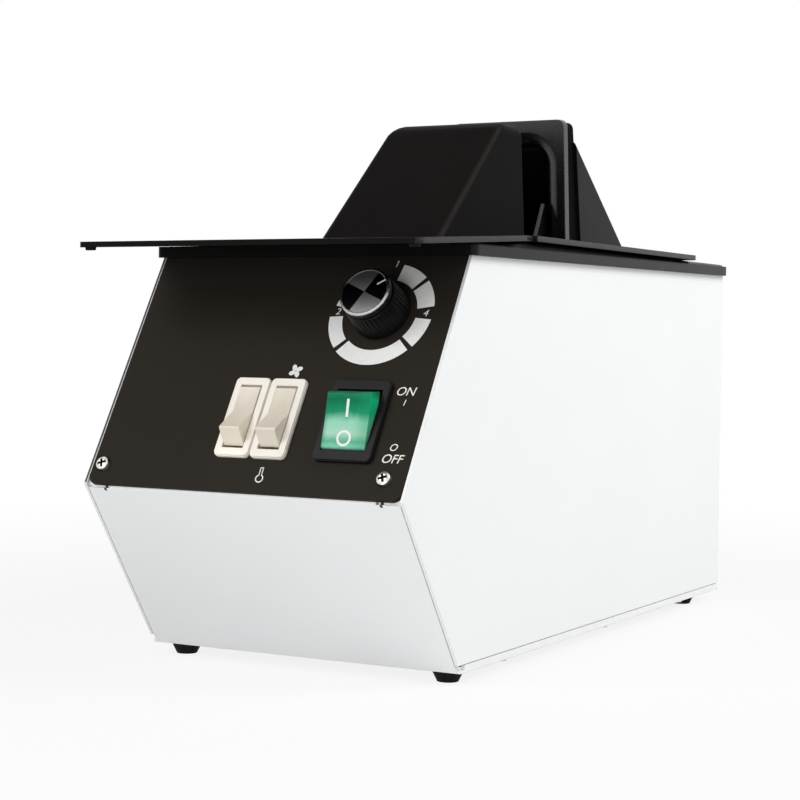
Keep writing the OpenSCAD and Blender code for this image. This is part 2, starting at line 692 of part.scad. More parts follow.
// A leaning flange with a set-back collar behind it, which closes the rear hood's shell
module mouth_plate() color(black) home() on_fall(bend_y, -glide) translate([0, -bend_y, 0])
    difference() {
        union() {
            difference() {
                union() {
                    leaning() rearward(0, mouth_t) arch(hood_w / 2, mouth_h + 5, 3.5);
                    intersection() {
                        leaning() rearward(mouth_t - 1, 40)
                            arch(hood_w / 2 - collar_in, mouth_h + 5 - collar_in, 3);
                        ahead_of_shell(fit_gap);
                    }
                }
                leaning() mouth_cut(throat, mouth_h - 0.4 - lip_r, 9, lip_r, 50);
            }
            both_sides() across(gusset_x[0], gusset_x[1]) polygon([
                [mouth_y - 15.5, 0], [mouth_y + 12, 0], [mouth_y + 12, 19], [mouth_y - 2.4, 24.9]
            ]);
        }
        translate([-100, 0, -20]) cube([200, 400, 20]);
        both_sides() translate([mouth_screw[0], mouth_screw[1], -eps]) cylinder(r = 1.25, h = 2.5, $fn = 24);
    }
collar_in = 1.2;     // how far the collar stands in from the flange's edge

// The mouth plate's leaning frame; its arches start 5 mm under the bed
module leaning() translate([0, mouth_y, 0]) rotate([mouth_lean, 0, 0]) translate([0, 0, -5]) children();

module rear_hood_screws() color(gloss_black) home() {
    for (p = shell_screws) translate([p[0], p[1], ceiling])
        rotate([180, 0, 0]) screw(1.2, 8, 2.9, 1.8);
    both_sides() translate([mouth_screw[0], mouth_screw[1], ceiling])
        rotate([180, 0, 0]) screw(1.2, 4, 2.9, 1.8);
}

// ---------------------------------------------------------------- dial

bush_r = 4.4;
bush_h = 5;
shaft_r = 3;
knob_lift = 0.8;
cap_t = 1.2;

module dial_control() color("#7c8086") home() on_panel(dial_u, dial_v) difference() {
    union() {
        translate([0, 0, -panel_t - 9]) cylinder(r = 12, h = 9);
        translate([0, 0, -panel_t - 1]) cylinder(r = bush_r, h = panel_t + bush_h + 1);
        for (i = [-1 : 1]) translate([i * 5 - 1.2, -20, -panel_t - 7]) cube([2.4, 12, 0.8]);
    }
    translate([0, 0, -panel_t - 6.5]) cylinder(r = shaft_r + shaft_gap, h = 20);
}

module dial_nut() color(brass) home() on_panel(dial_u, dial_v) difference() {
    cylinder(r = 6.9, h = 2.2, $fn = 6);
    translate([0, 0, -1]) cylinder(r = bush_r + shaft_gap, h = 5);
}

module dial_shaft() color(steel) home() on_panel(dial_u, dial_v)
    translate([0, 0, -panel_t - 6]) cylinder(r = shaft_r, h = panel_t + 6 + knob_h - 4);

// Turned knob with a fluted skirt
module knob_body() color(gloss_black) home() on_panel(dial_u, dial_v) {
    skirt_top = knob_h - 4;
    r_foot = knob_d / 2;
    r_top = cap_d / 2 + 0.2;
    lean = atan2(r_foot - r_top, skirt_top - knob_lift);
    flutes = 32;
    difference() {
        rotate_extrude($fn = 96) polygon([
            [shaft_r + shaft_gap, bush_h + 1.2], [7.8, bush_h + 1.2], [7.8, knob_lift],
            [r_foot, knob_lift], [r_top, skirt_top], [r_top - 0.9, skirt_top + 0.3],
            [r_top - 0.9, skirt_top + 1], [r_top - 0.2, skirt_top + 1.3],
            [r_top - 0.2, knob_h - cap_t], [0, knob_h - cap_t], [0, knob_h - 3.8],
            [shaft_r + shaft_gap, knob_h - 3.8]
        ]);
        for (i = [0 : flutes - 1]) rotate([0, 0, i * 360 / flutes])
            translate([r_foot + 0.1, 0, knob_lift - 1]) rotate([0, -lean, 0])
                cylinder(r = 0.65, h = skirt_top - knob_lift + 1, $fn = 16);
    }
}

module knob_cap() color(steel) home() on_panel(dial_u, dial_v)
    translate([0, 0, knob_h - cap_t]) {
        cylinder(d = cap_d, h = cap_t - 0.7, $fn = 96);
        translate([0, 0, cap_t - 0.7]) cylinder(d1 = cap_d, d2 = cap_d - 1.6, h = 0.7, $fn = 96);
    }

// ---------------------------------------------------------------- rocker switches

pair_us = [pair_u - pair_pitch / 2, pair_u + pair_pitch / 2];
pair_body_w = pair_w - 2.8;
power_body_w = power_w - 3;
body_l = bezel_l - 5;
pair_rocker = [8.8, 12.9, 10.5, 8.8];    // width, foot half-length, crest half-length, crest height
power_rocker = [18.4, 12.1, 10.45, 7.35];
pair_dip = pair_rocker[3] - pair_rocker[2] * tan(pair_tilt - 0.5);
power_dip = power_rocker[3] - 0.4;

module switch_body(w, body_w2, bezel_t, rocker, pivot_z, depth) difference() {
    union() {
        upward(0, bezel_t - 0.6) round_rect([w, bezel_l], 2.2);
        upward(bezel_t - 0.6, bezel_t) round_rect([w - 0.6, bezel_l - 0.6], 1.9);
        translate([-body_w2 / 2, -body_l / 2, -depth]) cube([body_w2, body_l, depth + eps]);
        for (s = [-1, 1]) scale_y(s) across(-body_w2 / 4, body_w2 / 4) polygon([
            [body_l / 2 - 1, -panel_t - 7], [body_l / 2, -panel_t - 7],
            [body_l / 2 + 1.1, -panel_t - 0.2], [body_l / 2 - 1, -panel_t - 0.2]
        ]);
    }
    cave = [rocker[0] + 2 * fit_gap, 2 * (rocker[1] + 0.45)];
    translate([-cave[0] / 2, -cave[1] / 2, pivot_z - 5]) cube([cave[0], cave[1], 30]);
    translate([0, 0, pivot_z]) rotate([0, 90, 0])
        cylinder(r = pin_r + shaft_gap, h = rocker[0] + 1.9, center = true, $fn = 32);
}
module scale_y(s) if (s > 0) children(); else mirror([0, 1, 0]) children();

module rocker(size, dip, tilt, pivot_z) translate([0, 0, pivot_z]) rotate([tilt, 0, 0]) {
    across(-size[0] / 2, size[0] / 2) {
        polygon([
            [-size[1], 1], [size[1], 1], [size[2] + 0.25, size[3] - 0.6], [size[2] - 0.35, size[3]],
            [0, dip], [0.35 - size[2], size[3]], [-size[2] - 0.25, size[3] - 0.6]
        ]);
        circle(2.6, $fn = 32);
        translate([-2.6, 0]) square([5.2, 2]);
    }
    rotate([0, 90, 0]) cylinder(r = pin_r, h = size[0] + 1.5, center = true, $fn = 32);
}

module heat_switch_body() color(cream) home() on_panel(pair_us[0], switch_v)
    switch_body(pair_w, pair_body_w, 1.8, pair_rocker, pivot_pair, 19);
module fan_switch_body() color(cream) home() on_panel(pair_us[1], switch_v)
    switch_body(pair_w, pair_body_w, 1.8, pair_rocker, pivot_pair, 19);
module power_switch_body() color(gloss_black) home() on_panel(power_u, switch_v)
    switch_body(power_w, power_body_w, 2.2, power_rocker, pivot_power, 22);

module heat_switch_rocker() color(cream) home() on_panel(pair_us[0], switch_v)
    rocker(pair_rocker, pair_dip, -pair_tilt, pivot_pair);
module fan_switch_rocker() color(cream) home() on_panel(pair_us[1], switch_v)
    rocker(pair_rocker, pair_dip, -pair_tilt, pivot_pair);
module power_switch_rocker() color("#14a56a") home() on_panel(power_u, switch_v)
    rocker(power_rocker, power_dip, power_tilt, pivot_power);

module switch_terminals() color(brass) home() {
    for (u = pair_us, s = [-1, 1]) on_panel(u, switch_v) translate([-3.15, s * 7 - 0.4, -28])
        cube([6.3, 0.8, 9]);
    for (s = [-1 : 1]) on_panel(power_u, switch_v) translate([-3.15, s * 8 - 0.4, -31])
        cube([6.3, 0.8, 9]);
}

// ---------------------------------------------------------------- blower

tongue = 119;        // angle of the scroll's tongue from the rear, over the axis
turn = 299;
function scroll_r(a) = wheel_r + 4 + (wheel_y - neck[0] - wheel_r - 4) * (tongue - a) / turn;
function spiral(less) = [for (i = [0 : 36]) let (a = tongue - i * turn / 36)
    (scroll_r(a) - less) * [cos(a), sin(a)]];

// Spiral casing that runs up into the neck
module scroll_view(less) translate([wheel_y, wheel_z]) {
    top = scroll_top - wheel_z + (less > 0 ? 5 : 0);
    polygon(concat(spiral(less), [
        [neck[0] + less - wheel_y, top], [neck[1] - less - wheel_y, top]
    ]));
}

module blower_scroll() color("#9aa0a4") home() difference() {
    across(-scroll_w / 2, scroll_w / 2) scroll_view(0);
    across(-duct_x, duct_x) scroll_view(sheet_t);
    translate([0, wheel_y, wheel_z]) rotate([0, 90, 0]) cylinder(r = wheel_r - 7, h = 60);
    translate([0, wheel_y, wheel_z]) rotate([0, -90, 0]) cylinder(r = 8, h = 60);
}

module blower_wheel() color("#55595d") home() translate([0, wheel_y, wheel_z]) rotate([0, 90, 0]) {
    x0 = -wheel_w / 2;
    difference() {
        union() {
            translate([0, 0, x0]) cylinder(r = wheel_r, h = 1.2);
            translate([0, 0, x0]) cylinder(r = 7, h = 16);
            translate([0, 0, -x0 - 1.2]) difference() {
                cylinder(r = wheel_r, h = 1.2);
                translate([0, 0, -1]) cylinder(r = wheel_r - 7.5, h = 4);
            }
            for (i = [0 : blades - 1]) rotate([0, 0, i * 360 / blades]) upward(x0 + 1, -x0 - 1)
                polygon(concat(blade_side(0), [for (i = [4 : -1 : 0]) blade_side(0.9)[i]]));
        }
        translate([0, 0, x0 - 1]) cylinder(r = motor_shaft_r + 0.02, h = 20);
    }
}
// One face of a forward-curved blade, from its inner to its outer edge
function blade_side(off) = [for (i = [0 : 4])
    let (r = wheel_r - 7 + i * 1.65, a = 6 * pow(i / 4, 2)) (r) * [cos(a), sin(a)] + [0, off]];

motor_shaft_r = 2.5;
motor_x = -scroll_w / 2 - sheet_t;
motor_l = 32;
module motor_shaft() color(steel) home() translate([motor_x - motor_l + 3, wheel_y, wheel_z])
    rotate([0, 90, 0]) cylinder(r = motor_shaft_r, h = -motor_x + motor_l - 3 - wheel_w / 2 + 15);

module blower_motor() color("#6d7176") home() translate([motor_x, wheel_y, wheel_z])
    rotate([0, -90, 0]) difference() {
        union() {
            cylinder(d = motor_d, h = motor_l - 6);
            translate([0, 0, motor_l - 6]) cylinder(d1 = motor_d, d2 = motor_d - 14, h = 3);
            translate([0, 0, motor_l - 4]) cylinder(r = 8, h = 4);
        }
        translate([0, 0, -1]) cylinder(r = motor_shaft_r + shaft_gap, h = motor_l - 1);
    }

module motor_bracket() color(steel) home() difference() {
    union() {
        across(motor_x, motor_x + sheet_t) translate([wheel_y, 0]) {
            translate([-26, sheet_t]) square([52, wheel_z]);
            translate([0, wheel_z]) circle(26);
        }
        translate([motor_x - 30, wheel_y - 26, sheet_t]) cube([30 + sheet_t, 52, sheet_t]);
    }
    translate([motor_x - 5, wheel_y, wheel_z]) rotate([0, 90, 0]) cylinder(r = 8, h = 10);
}

// ---------------------------------------------------------------- heater

module heater_duct() color("#b9bdc0") home() difference() {
    union() {
        across(-duct_x, duct_x) polygon(duct_view(0));
        upward(duct_top, guard_z) flange_plan();
    }
    across(sheet_t - duct_x, duct_x - sheet_t) polygon(duct_view(sheet_t));
}
shoulder_z = scroll_top + 0.55 * (duct_top - scroll_top);
function duct_view(less) = [
    [neck[0] + less, scroll_top - (less > 0 ? 1 : 0)], [neck[1] - less, scroll_top - (less > 0 ? 1 : 0)],
    [neck[1] - less, shoulder_z], [outlet[1] + sheet_t - less, duct_top - 3],
    [outlet[1] + sheet_t - less, duct_top + (less > 0 ? 9 : sheet_t)],
    [outlet[0] - sheet_t + less, duct_top + (less > 0 ? 9 : sheet_t)],
    [outlet[0] - sheet_t + less, duct_top - 3], [neck[0] + less, shoulder_z]
];

neck_mid = (neck[0] + neck[1]) / 2;
turn_pitch = (shoulder_z - scroll_top - 4) / turns;
module wire_turns(r) for (i = [0 : turns - 1])
    translate([0, neck_mid, scroll_top + 3 + (i + 0.5) * turn_pitch])
        rotate_extrude() translate([16, 0]) circle(r, $fn = 24);

module heater_frame() color("#d8d2c2") home() difference() {
    for (a = [0, 90]) translate([0, neck_mid, (scroll_top + shoulder_z) / 2]) rotate([0, 0, a])
        cube([
            a == 0 ? 2 * duct_x - 2 * sheet_t - 2 * fit_gap : neck[1] - neck[0] - 2 * sheet_t - 2 * fit_gap,
            1.4, shoulder_z - scroll_top - 1
        ], center = true);
    wire_turns(1.1);
}
module heater_coil() color("#a8998c") home() wire_turns(0.8);

module thermal_cutout() color("#33363a") home() translate([0, neck[0], scroll_top + 12])
    rotate([90, 0, 0]) {
        cylinder(r = 7.5, h = 4);
        cylinder(r = 5.5, h = 7);
        for (s = [-1, 1]) translate([s * 5 - 2.4, 3, 1]) cube([4.8, 9, 0.8]);
    }

// ---------------------------------------------------------------- electrics

board = [-52, 12, 8];
board_size = [56, 52, 1.6];
board_holes = [for (x = [4, board_size[0] - 4], y = [4, board_size[1] - 4]) [board[0] + x, board[1] + y]];

module control_board() color("#2f6b3c") home() difference() {
    union() {
        translate(board) cube(board_size);
        translate(board + [10, 10, board_size[2]]) {
            cube([22, 3, 20]);
            for (i = [0 : 4]) translate([i * 5, 3, 0]) cube([2, 8, 20]);
        }
        translate(board + [42, 16, board_size[2]]) cylinder(d = 12, h = 18, $fn = 32);
        translate(board + [42, 36, board_size[2]]) cylinder(d = 12, h = 18, $fn = 32);
        translate(board + [14, 30, board_size[2]]) cube([16, 12, 12]);
    }
    for (p = board_holes) translate([p[0], p[1], board[2] - 1]) cylinder(r = 1.6, h = 4, $fn = 24);
}

module board_standoffs() color("#e4e2da") home() for (p = board_holes) translate([p[0], p[1], sheet_t]) {
    cylinder(r = 3, h = board[2] - sheet_t, $fn = 24);
    translate([0, 0, board[2] - sheet_t]) cylinder(r = 1.5, h = board_size[2] + 1.5, $fn = 24);
}

module terminal_block() color("#e4e2da") home() translate([16, 24, sheet_t]) difference() {
    union() {
        cube([36, 18, 8]);
        translate([0, 4, 8 - eps]) cube([36, 10, 7]);
    }
    for (i = [0 : 3]) translate([4.5 + i * 9, 9, 6]) cylinder(r = 2.4, h = 20, $fn = 24);
    for (i = [0 : 3]) translate([4.5 + i * 9, -1, 4]) rotate([-90, 0, 0]) cylinder(r = 1.8, h = 30, $fn = 24);
}

// ---------------------------------------------------------------- what is drawn

base_tray();
side_panel_left();
side_panel_right();
rear_panel();
control_panel();
panel_screws();
rear_panel_screws();
tray_screws();
top_cover();
cover_screws();
foot_front_left();
foot_front_right();
foot_rear_left();
foot_rear_right();
foot_screws();
cord_bush();
slide_deck();
deck_bumpers();
deck_runners();
runner_screws();
front_hood();
front_hood_screws();
rear_hood();
mouth_plate();
rear_hood_screws();
outlet_guard();
dial_control();
dial_nut();
dial_shaft();
knob_body();
knob_cap();
heat_switch_body();
heat_switch_rocker();
fan_switch_body();
fan_switch_rocker();
power_switch_body();
power_switch_rocker();
switch_terminals();
blower_scroll();
blower_wheel();
motor_shaft();
blower_motor();
motor_bracket();
heater_duct();
heater_frame();
heater_coil();
thermal_cutout();
duct_screws();
control_board();
board_standoffs();
terminal_block();
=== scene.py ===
"""Looks of a counter-top warmer for eyeglass frames, built round its CAD frame."""

import json
import math

import bmesh
import bpy
from bpy.props import FloatProperty, FloatVectorProperty, IntProperty, PointerProperty
from mathutils import Matrix, Vector


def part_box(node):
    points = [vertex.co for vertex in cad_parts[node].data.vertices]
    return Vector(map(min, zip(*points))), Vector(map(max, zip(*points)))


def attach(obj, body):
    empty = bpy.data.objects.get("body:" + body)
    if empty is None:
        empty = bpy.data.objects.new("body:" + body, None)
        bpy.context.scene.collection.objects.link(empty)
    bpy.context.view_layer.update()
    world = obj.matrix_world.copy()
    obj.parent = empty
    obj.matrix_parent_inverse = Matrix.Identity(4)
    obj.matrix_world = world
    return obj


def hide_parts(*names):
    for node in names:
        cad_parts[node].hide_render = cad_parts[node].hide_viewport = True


bl_info = {
    "name": "Frame warmer",
    "version": (1, 0, 0),
    "blender": (4, 5, 0),
    "location": "View3D > Sidebar > Frame warmer",
    "description": "Builds the finished pieces of a counter-top frame warmer",
    "category": "Object",
}

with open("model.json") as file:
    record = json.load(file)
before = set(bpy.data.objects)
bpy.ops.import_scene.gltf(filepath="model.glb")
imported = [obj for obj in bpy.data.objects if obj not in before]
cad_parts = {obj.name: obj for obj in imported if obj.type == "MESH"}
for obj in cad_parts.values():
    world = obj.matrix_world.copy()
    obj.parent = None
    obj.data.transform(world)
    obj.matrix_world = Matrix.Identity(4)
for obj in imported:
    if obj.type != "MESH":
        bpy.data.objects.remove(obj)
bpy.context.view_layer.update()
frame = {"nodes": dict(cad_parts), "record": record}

MM = 0.001
JOINTS = {joint["name"]: joint for joint in frame["record"]["behaviour"]["joints"]}
ACROSS = Vector((1, 0, 0))
PANEL_OUT = Vector(JOINTS["dial_turn"]["axis"]).normalized()
PANEL_UP = PANEL_OUT.cross(ACROSS)

# Places on the control panel in millimetres: u across from its middle, v down from its top edge.
DIAL_U, DIAL_V = 39.4, 25.8
SCALE_U = 38.5
POWER_U, SWITCH_V = 40.9, 71.6
SCREW_V = 93.9
POWER_DEPTH = -1.3
POWER_LEAN = math.radians(17)
PRINT_LIFT = 0.01
PANEL_TOP = (
    Vector(JOINTS["dial_turn"]["pos_m"]) - ACROSS * DIAL_U * MM + PANEL_UP * DIAL_V * MM
)

# Sideways width of the edge strips, which take painted sheen, and depth of the mouth plate's
# front, in millimetres.
STRIP_WIDTH = 4
MOUTH_FRONT = 4.3

FILL_LIGHT = 0.42
FLOOR_HALF = 6

# Where the housing's white paint gives way to painted shade in the two fold slots and to dark on
# the left panel's sloping edge, in millimetres on the object's own axes.
FOLD_SLOT_X, FOLD_SLOT_HALF = 60.6, 0.4
FOLD_Y, FOLD_Z = -161.5, 69.6
LEFT_EDGE_X, SLOPE_FOOT_Z = -69.2, 72.5

# Outlines of the knob, as (radius, height) pairs in millimetres over the panel.
SKIRT_OUTLINE = [
    (3.05, 6.2), (7.8, 6.2), (7.8, 0.8), (11.0, 0.8), (11.4, 1.0), (11.5, 1.5),
    (11.42, 2.2), (11.3, 3.4), (10.9, 7.6), (10.5, 11.6), (10.35, 12.3), (10.0, 12.5),
    (9.45, 12.6), (9.35, 12.9), (9.45, 13.4), (9.95, 13.6), (10.05, 13.9), (10.05, 15.3),
    (0, 15.3), (0, 12.7), (3.05, 12.7), (3.05, 6.2),
]
FLUTES_FROM, FLUTES_TO, FLUTE_DEPTH = 1.2, 12.4, 0.03
CAP_OUTLINE = [
    (0, 15.3), (9.9, 15.3), (10.1, 15.45), (10.1, 15.95), (9.55, 16.5), (9.2, 16.5),
    (9.0, 16.32), (0, 16.32),
]
CAP_FACE, CAP_LIP = 9.0, 16
MARK_HEIGHT = 16.36
MARK_ANGLE = math.radians(-56)

# Printed segments round the dial: inner and outer radius, start and end angle from up.
SCALE_SEGMENTS = (
    (15.0, 22.0, 10.5, 43.0), (15.0, 22.0, 48.0, 80.5), (15.3, 22.0, 95.5, 128.5),
    (15.5, 21.8, 134.0, 221.5), (16.0, 21.7, 227.0, 266.5), (16.4, 20.6, 280.0, 314.0),
)
# Printed characters: text, height, u and v.
CHARACTERS = (
    ("1", 2.9, 39.2, 3.8), ("'", 1.5, 38.95, 3.3), ("4", 2.9, 57.4, 25.3),
    ("2", 2.9, 19.8, 24.9), ("ON", 3.6, 58.5, 58.4), ("I", 2.6, 59.2, 63.0),
    ("O", 2.9, 60.0, 81.2), ("OFF", 3.6, 60.7, 85.8),
)
FAN_SIGN = (9.3, 50.9)
HEAT_SIGN = (8.05, 96.2)


# ------------------------------------------------------------------ places


def on_panel(u=0.0, v=0.0, lift=0.0):
    """Millimetres on the control panel: u across, v down the slope, z out of it."""
    origin = PANEL_TOP + (ACROSS * u - PANEL_UP * v + PANEL_OUT * lift) * MM
    turn = Matrix((ACROSS, PANEL_UP, PANEL_OUT)).transposed().to_4x4()
    return Matrix.Translation(origin) @ turn @ Matrix.Scale(MM, 4)


def on_power_rocker():
    """Millimetres on the power rocker at rest, from its pivot."""
    pivot = on_panel(POWER_U, SWITCH_V, POWER_DEPTH)
    return pivot @ Matrix.Rotation(POWER_LEAN, 4, "X")


# ------------------------------------------------------------------ shader maths


class Wire:
    """A socket's value, which Python's arithmetic turns into Math nodes."""

    def __init__(self, finish, socket):
        self.finish, self.socket = finish, socket

    def math(self, operation, *values):
        """A Math node on values, which are wires or numbers."""
        sockets = dict(enumerate(values))
        return self.finish.node("ShaderNodeMath", {"operation": operation}, sockets)

    def __add__(self, other):
        return self.math("ADD", self, other)

    def __sub__(self, other):
        return self.math("SUBTRACT", self, other)

    def __rsub__(self, other):
        return self.math("SUBTRACT", other, self)

    def __mul__(self, other):
        return self.math("MULTIPLY", self, other)

    def __truediv__(self, other):
        return self.math("DIVIDE", self, other)

    def __pow__(self, other):
        return self.math("POWER", self, other)

    __radd__, __rmul__ = __add__, __mul__

    def rises(self, start, end):
        """0 below start, 1 above end, smooth between."""
        return self.finish.node(
            "ShaderNodeMapRange",
            {"interpolation_type": "SMOOTHSTEP"},
            {"Value": self, "From Min": start, "From Max": end},
        )


class Finish:
    """A material whose maps are written as expressions."""

    def __init__(self, name, colour, roughness, **constants):
        self.material = bpy.data.materials.new(name)
        self.material.use_nodes = True
        self.nodes = self.material.node_tree.nodes
        self.links = self.material.node_tree.links
        self.shader = self.nodes["Principled BSDF"]
        self.shader.inputs["Base Color"].default_value = (*colour, 1)
        self.shader.inputs["Roughness"].default_value = roughness
        for socket, value in constants.items():
            self.shader.inputs[socket.replace("_", " ")].default_value = value

    def node(self, kind, settings=None, sockets=None, out=0):
        """Adds a node, sets it up, feeds its sockets and returns one output."""
        made = self.nodes.new(kind)
        for name, value in (settings or {}).items():
            if name == "stops":
                marks = made.color_ramp.elements
                marks.remove(marks[1])
                marks[0].position, marks[0].color = value[0][0], (*value[0][1], 1)
                for position, colour in value[1:]:
                    marks.new(position).color = (*colour, 1)
            else:
                setattr(made, name, value)
        for name, value in (sockets or {}).items():
            if isinstance(value, Wire):
                self.links.new(value.socket, made.inputs[name])
            else:
                made.inputs[name].default_value = value
        return Wire(self, made.outputs[out])

    def feed(self, **wires):
        """Links wires to the shader's sockets, named with underscores for spaces."""
        for socket, wire in wires.items():
            self.links.new(wire.socket, self.shader.inputs[socket.replace("_", " ")])
        return self

    def over(self, amount, colour):
        """Paints a colour over the base colour, as far as amount says."""
        base = Wire(self, self.shader.inputs["Base Color"].links[0].from_socket)
        return self.feed(Base_Color=self.mix(amount, base, colour))

    def place(self):
        """The object's own coordinates, in metres."""
        return self.node("ShaderNodeTexCoord", out="Object")

    def stretched(self, scale):
        """The object's coordinates, scaled along each axis."""
        sockets = {"Vector": self.place(), "Scale": scale}
        return self.node("ShaderNodeMapping", {"vector_type": "POINT"}, sockets)

    def noise(self, size, detail=3.0, place=None):
        """Cloudy noise with features of about size millimetres."""
        return self.node(
            "ShaderNodeTexNoise",
            None,
            {"Vector": place or self.place(), "Scale": 1000 / size, "Detail": detail},
        )

    def mix(self, amount, low, high):
        """A colour between two colours."""
        low = low if isinstance(low, Wire) else (*low, 1)
        high = high if isinstance(high, Wire) else (*high, 1)
        return self.node(
            "ShaderNodeMix", {"data_type": "RGBA"}, {0: amount, 6: low, 7: high}, out=2
        )

    def along(self, axis):
        """One coordinate, in millimetres."""
        return 1000 * self.node("ShaderNodeSeparateXYZ", None, {0: self.place()}, out=axis)

    def reach(self, origin, axis):
        """Millimetres from a point, measured along an axis."""
        away = self.node(
            "ShaderNodeVectorMath", {"operation": "SUBTRACT"}, {0: self.place(), 1: origin}
        )
        length = self.node(
            "ShaderNodeVectorMath", {"operation": "DOT_PRODUCT"}, {0: away, 1: axis}, "Value"
        )
        return 1000 * length

    def soft_edges(self, radius):
        """The normal, rounded over sharp edges by radius millimetres."""
        return self.node("ShaderNodeBevel", {"samples": 4}, {"Radius": radius * MM})

    def relief(self, height, depth, strength=1.0, edges=0.0):
        """A bump of depth millimetres, over rounded edges where asked for."""
        sockets = {"Height": height, "Distance": depth * MM, "Strength": strength}
        if edges:
            sockets["Normal"] = self.soft_edges(edges)
        return self.node("ShaderNodeBump", None, sockets)


def shade(colour, factor):
    """A colour made lighter or darker."""
    return tuple(channel * factor for channel in colour)


def powder_coat(name, colour, roughness, cloudy=0.05, dusty=0.14, edges=0.35, **constants):
    """Baked powder paint: orange peel, faint cloudiness and dust in its gloss."""
    f = Finish(name, colour, roughness, **constants)
    cloud, peel, dust = f.noise(70, 2), f.noise(0.9, 2), f.noise(5, 4)
    low, high = shade(colour, 1 - cloudy), shade(colour, 1 + cloudy * 0.6)
    f.feed(
        Base_Color=f.mix(cloud.rises(0.35, 0.7), low, high),
        Roughness=(dust - 0.5) * dusty + (peel - 0.5) * 0.06 + roughness,
        Normal=f.relief(peel, 0.02, 0.4, edges),
    )
    return f


def white_coat():
    """White paint, with painted shade in the apron's two fold slots, and dark on the left panel's
    sloping edge.
    """
    colour = tuple(settings("warmer_housing").white)
    f = powder_coat("white_coat", colour, 0.3, 0.008, 0.05)
    side, front, high = (f.along(axis) for axis in range(3))
    off = side.math("ABSOLUTE", side) - FOLD_SLOT_X
    off = off.math("ABSOLUTE", off)
    # Painted shade: two small dark slots at the apron's top corners, in the colour only.
    slot_painted_shade = (
        (1 - off.rises(FOLD_SLOT_HALF, FOLD_SLOT_HALF + 0.4))
        * high.rises(FOLD_Z, FOLD_Z + 0.6)
        * (1 - front.rises(FOLD_Y, FOLD_Y + 0.5))
    )
    out = f.reach(on_panel().translation, PANEL_OUT)
    sloping = (
        out.rises(-1.6, -1.4)
        * (1 - side.rises(LEFT_EDGE_X, LEFT_EDGE_X + 0.3))
        * high.rises(SLOPE_FOOT_Z, SLOPE_FOOT_Z + 0.5)
    )
    # The dark colour is painted shade in the slots, and dark on the sloping edge.
    dark = slot_painted_shade.math("MAXIMUM", slot_painted_shade, sloping)
    return f.over(dark, (0.012, 0.011, 0.010))


def moulded(name, colour, roughness, grain=0.5, depth=0.012, edges=0.0, **constants):
    """Moulded plastic: fine spark-eroded grain, flow clouds and handling marks."""
    f = Finish(name, colour, roughness, **constants)
    spark, flow, wear = f.noise(grain, 2), f.noise(38, 3), f.noise(9, 5)
    f.feed(
        Base_Color=f.mix(flow.rises(0.35, 0.7), shade(colour, 0.9), shade(colour, 1.1)),
        Roughness=wear.rises(0.4, 0.8) * 0.04 + (spark - 0.5) * 0.1 + roughness,
        Normal=f.relief(spark, depth, 0.7, edges),
    )
    return f


def widest(node, fits):
    """Middle and normal of a CAD piece's largest face whose normal fits."""
    faces = [face for face in frame["nodes"][node].data.polygons if fits(face.normal)]
    face = max(faces, key=lambda face: face.area)
    return face.center.copy(), face.normal.copy()


def front_hood_black():
    """Matt black plastic, with a painted highlight: paler along the two long edges of the slope.
    """
    f = moulded("hood_black", (0.0045, 0.0038, 0.0035), 0.45, edges=1.2, Specular_IOR_Level=0.015)
    inside = []
    for fits in (
        lambda n: n.y < -0.4 and n.z > 0.4 and abs(n.x) < 0.05,
        lambda n: n.x > 0.9,
        lambda n: n.x < -0.9,
    ):
        spot, normal = widest("front_hood", fits)
        inside.append(f.reach(spot, normal) * -1)
    slope, *sides = inside
    side = sides[0].math("MINIMUM", *sides)
    # Painted highlight: a paler band along the rounded edges between the slope and the sides.
    fillet_painted_highlight = (1 - slope.rises(0.3, 2.4)) * (1 - side.rises(0.5, 2.8))
    patchy = f.noise(9, 3).rises(0.2, 0.9) * 0.5 + 0.5
    return f.over(fillet_painted_highlight * patchy, (0.027, 0.0245, 0.023))


def plated(name, colour, roughness, brush=(1, 1, 30), edges=0.2, **constants):
    """Plated or rolled metal with fine drawing lines and dull patches."""
    f = Finish(name, colour, roughness, Metallic=1.0, **constants)
    lines = f.noise(2.4, 3, f.stretched(brush))
    patch = f.noise(14, 4)
    f.feed(
        Base_Color=f.mix(patch.rises(0.4, 0.7), shade(colour, 0.82), colour),
        Roughness=(lines - 0.5) * 0.22 + patch * 0.12 + (roughness - 0.05),
        Normal=f.relief(lines, 0.01, 0.4, edges),
    )
    return f


def rubbery(name, colour):
    """Black rubber: open pores and pale dust."""
    f = Finish(name, colour, 0.62, Specular_IOR_Level=0.08)
    dust, pores = f.noise(6, 5), f.noise(0.4, 2)
    f.feed(
        Base_Color=f.mix(dust.rises(0.5, 0.8), colour, shade(colour, 2.2)),
        Roughness=pores * 0.2 + 0.55,
        Normal=f.relief(pores, 0.04, 0.6),
    )
    return f


def printed(name, colour):
    """Screen-printed ink with slightly thin patches."""
    f = Finish(name, colour, 0.5)
    patch = f.noise(1.6, 4)
    f.feed(
        Base_Color=f.mix(patch.rises(0.5, 0.85), colour, shade(colour, 0.88)),
        Normal=f.relief(patch, 0.006, 0.5),
    )
    return f


FINISHES = {}


def finish(name):
    """The material of that name, made when it is first asked for."""
    if name not in FINISHES:
        FINISHES[name] = RECIPES[name]().material
    return FINISHES[name]


# ------------------------------------------------------------------ pieces


def paint(finish_name, *nodes):
    """Gives CAD pieces a finish."""
    for node in nodes:
        obj = frame["nodes"][node]
        if not obj.material_slots:
            raise RuntimeError(node + " has no material slot")
        for material_slot in obj.material_slots:
            material_slot.material = finish(finish_name)


def smooth_over(bm, angle=32):
    """Shades smooth, with hard edges where faces meet more sharply than angle."""
    for edge in bm.edges:
        edge.smooth = edge.calc_face_angle(math.pi) < math.radians(angle)
    for face in bm.faces:
        face.smooth = True


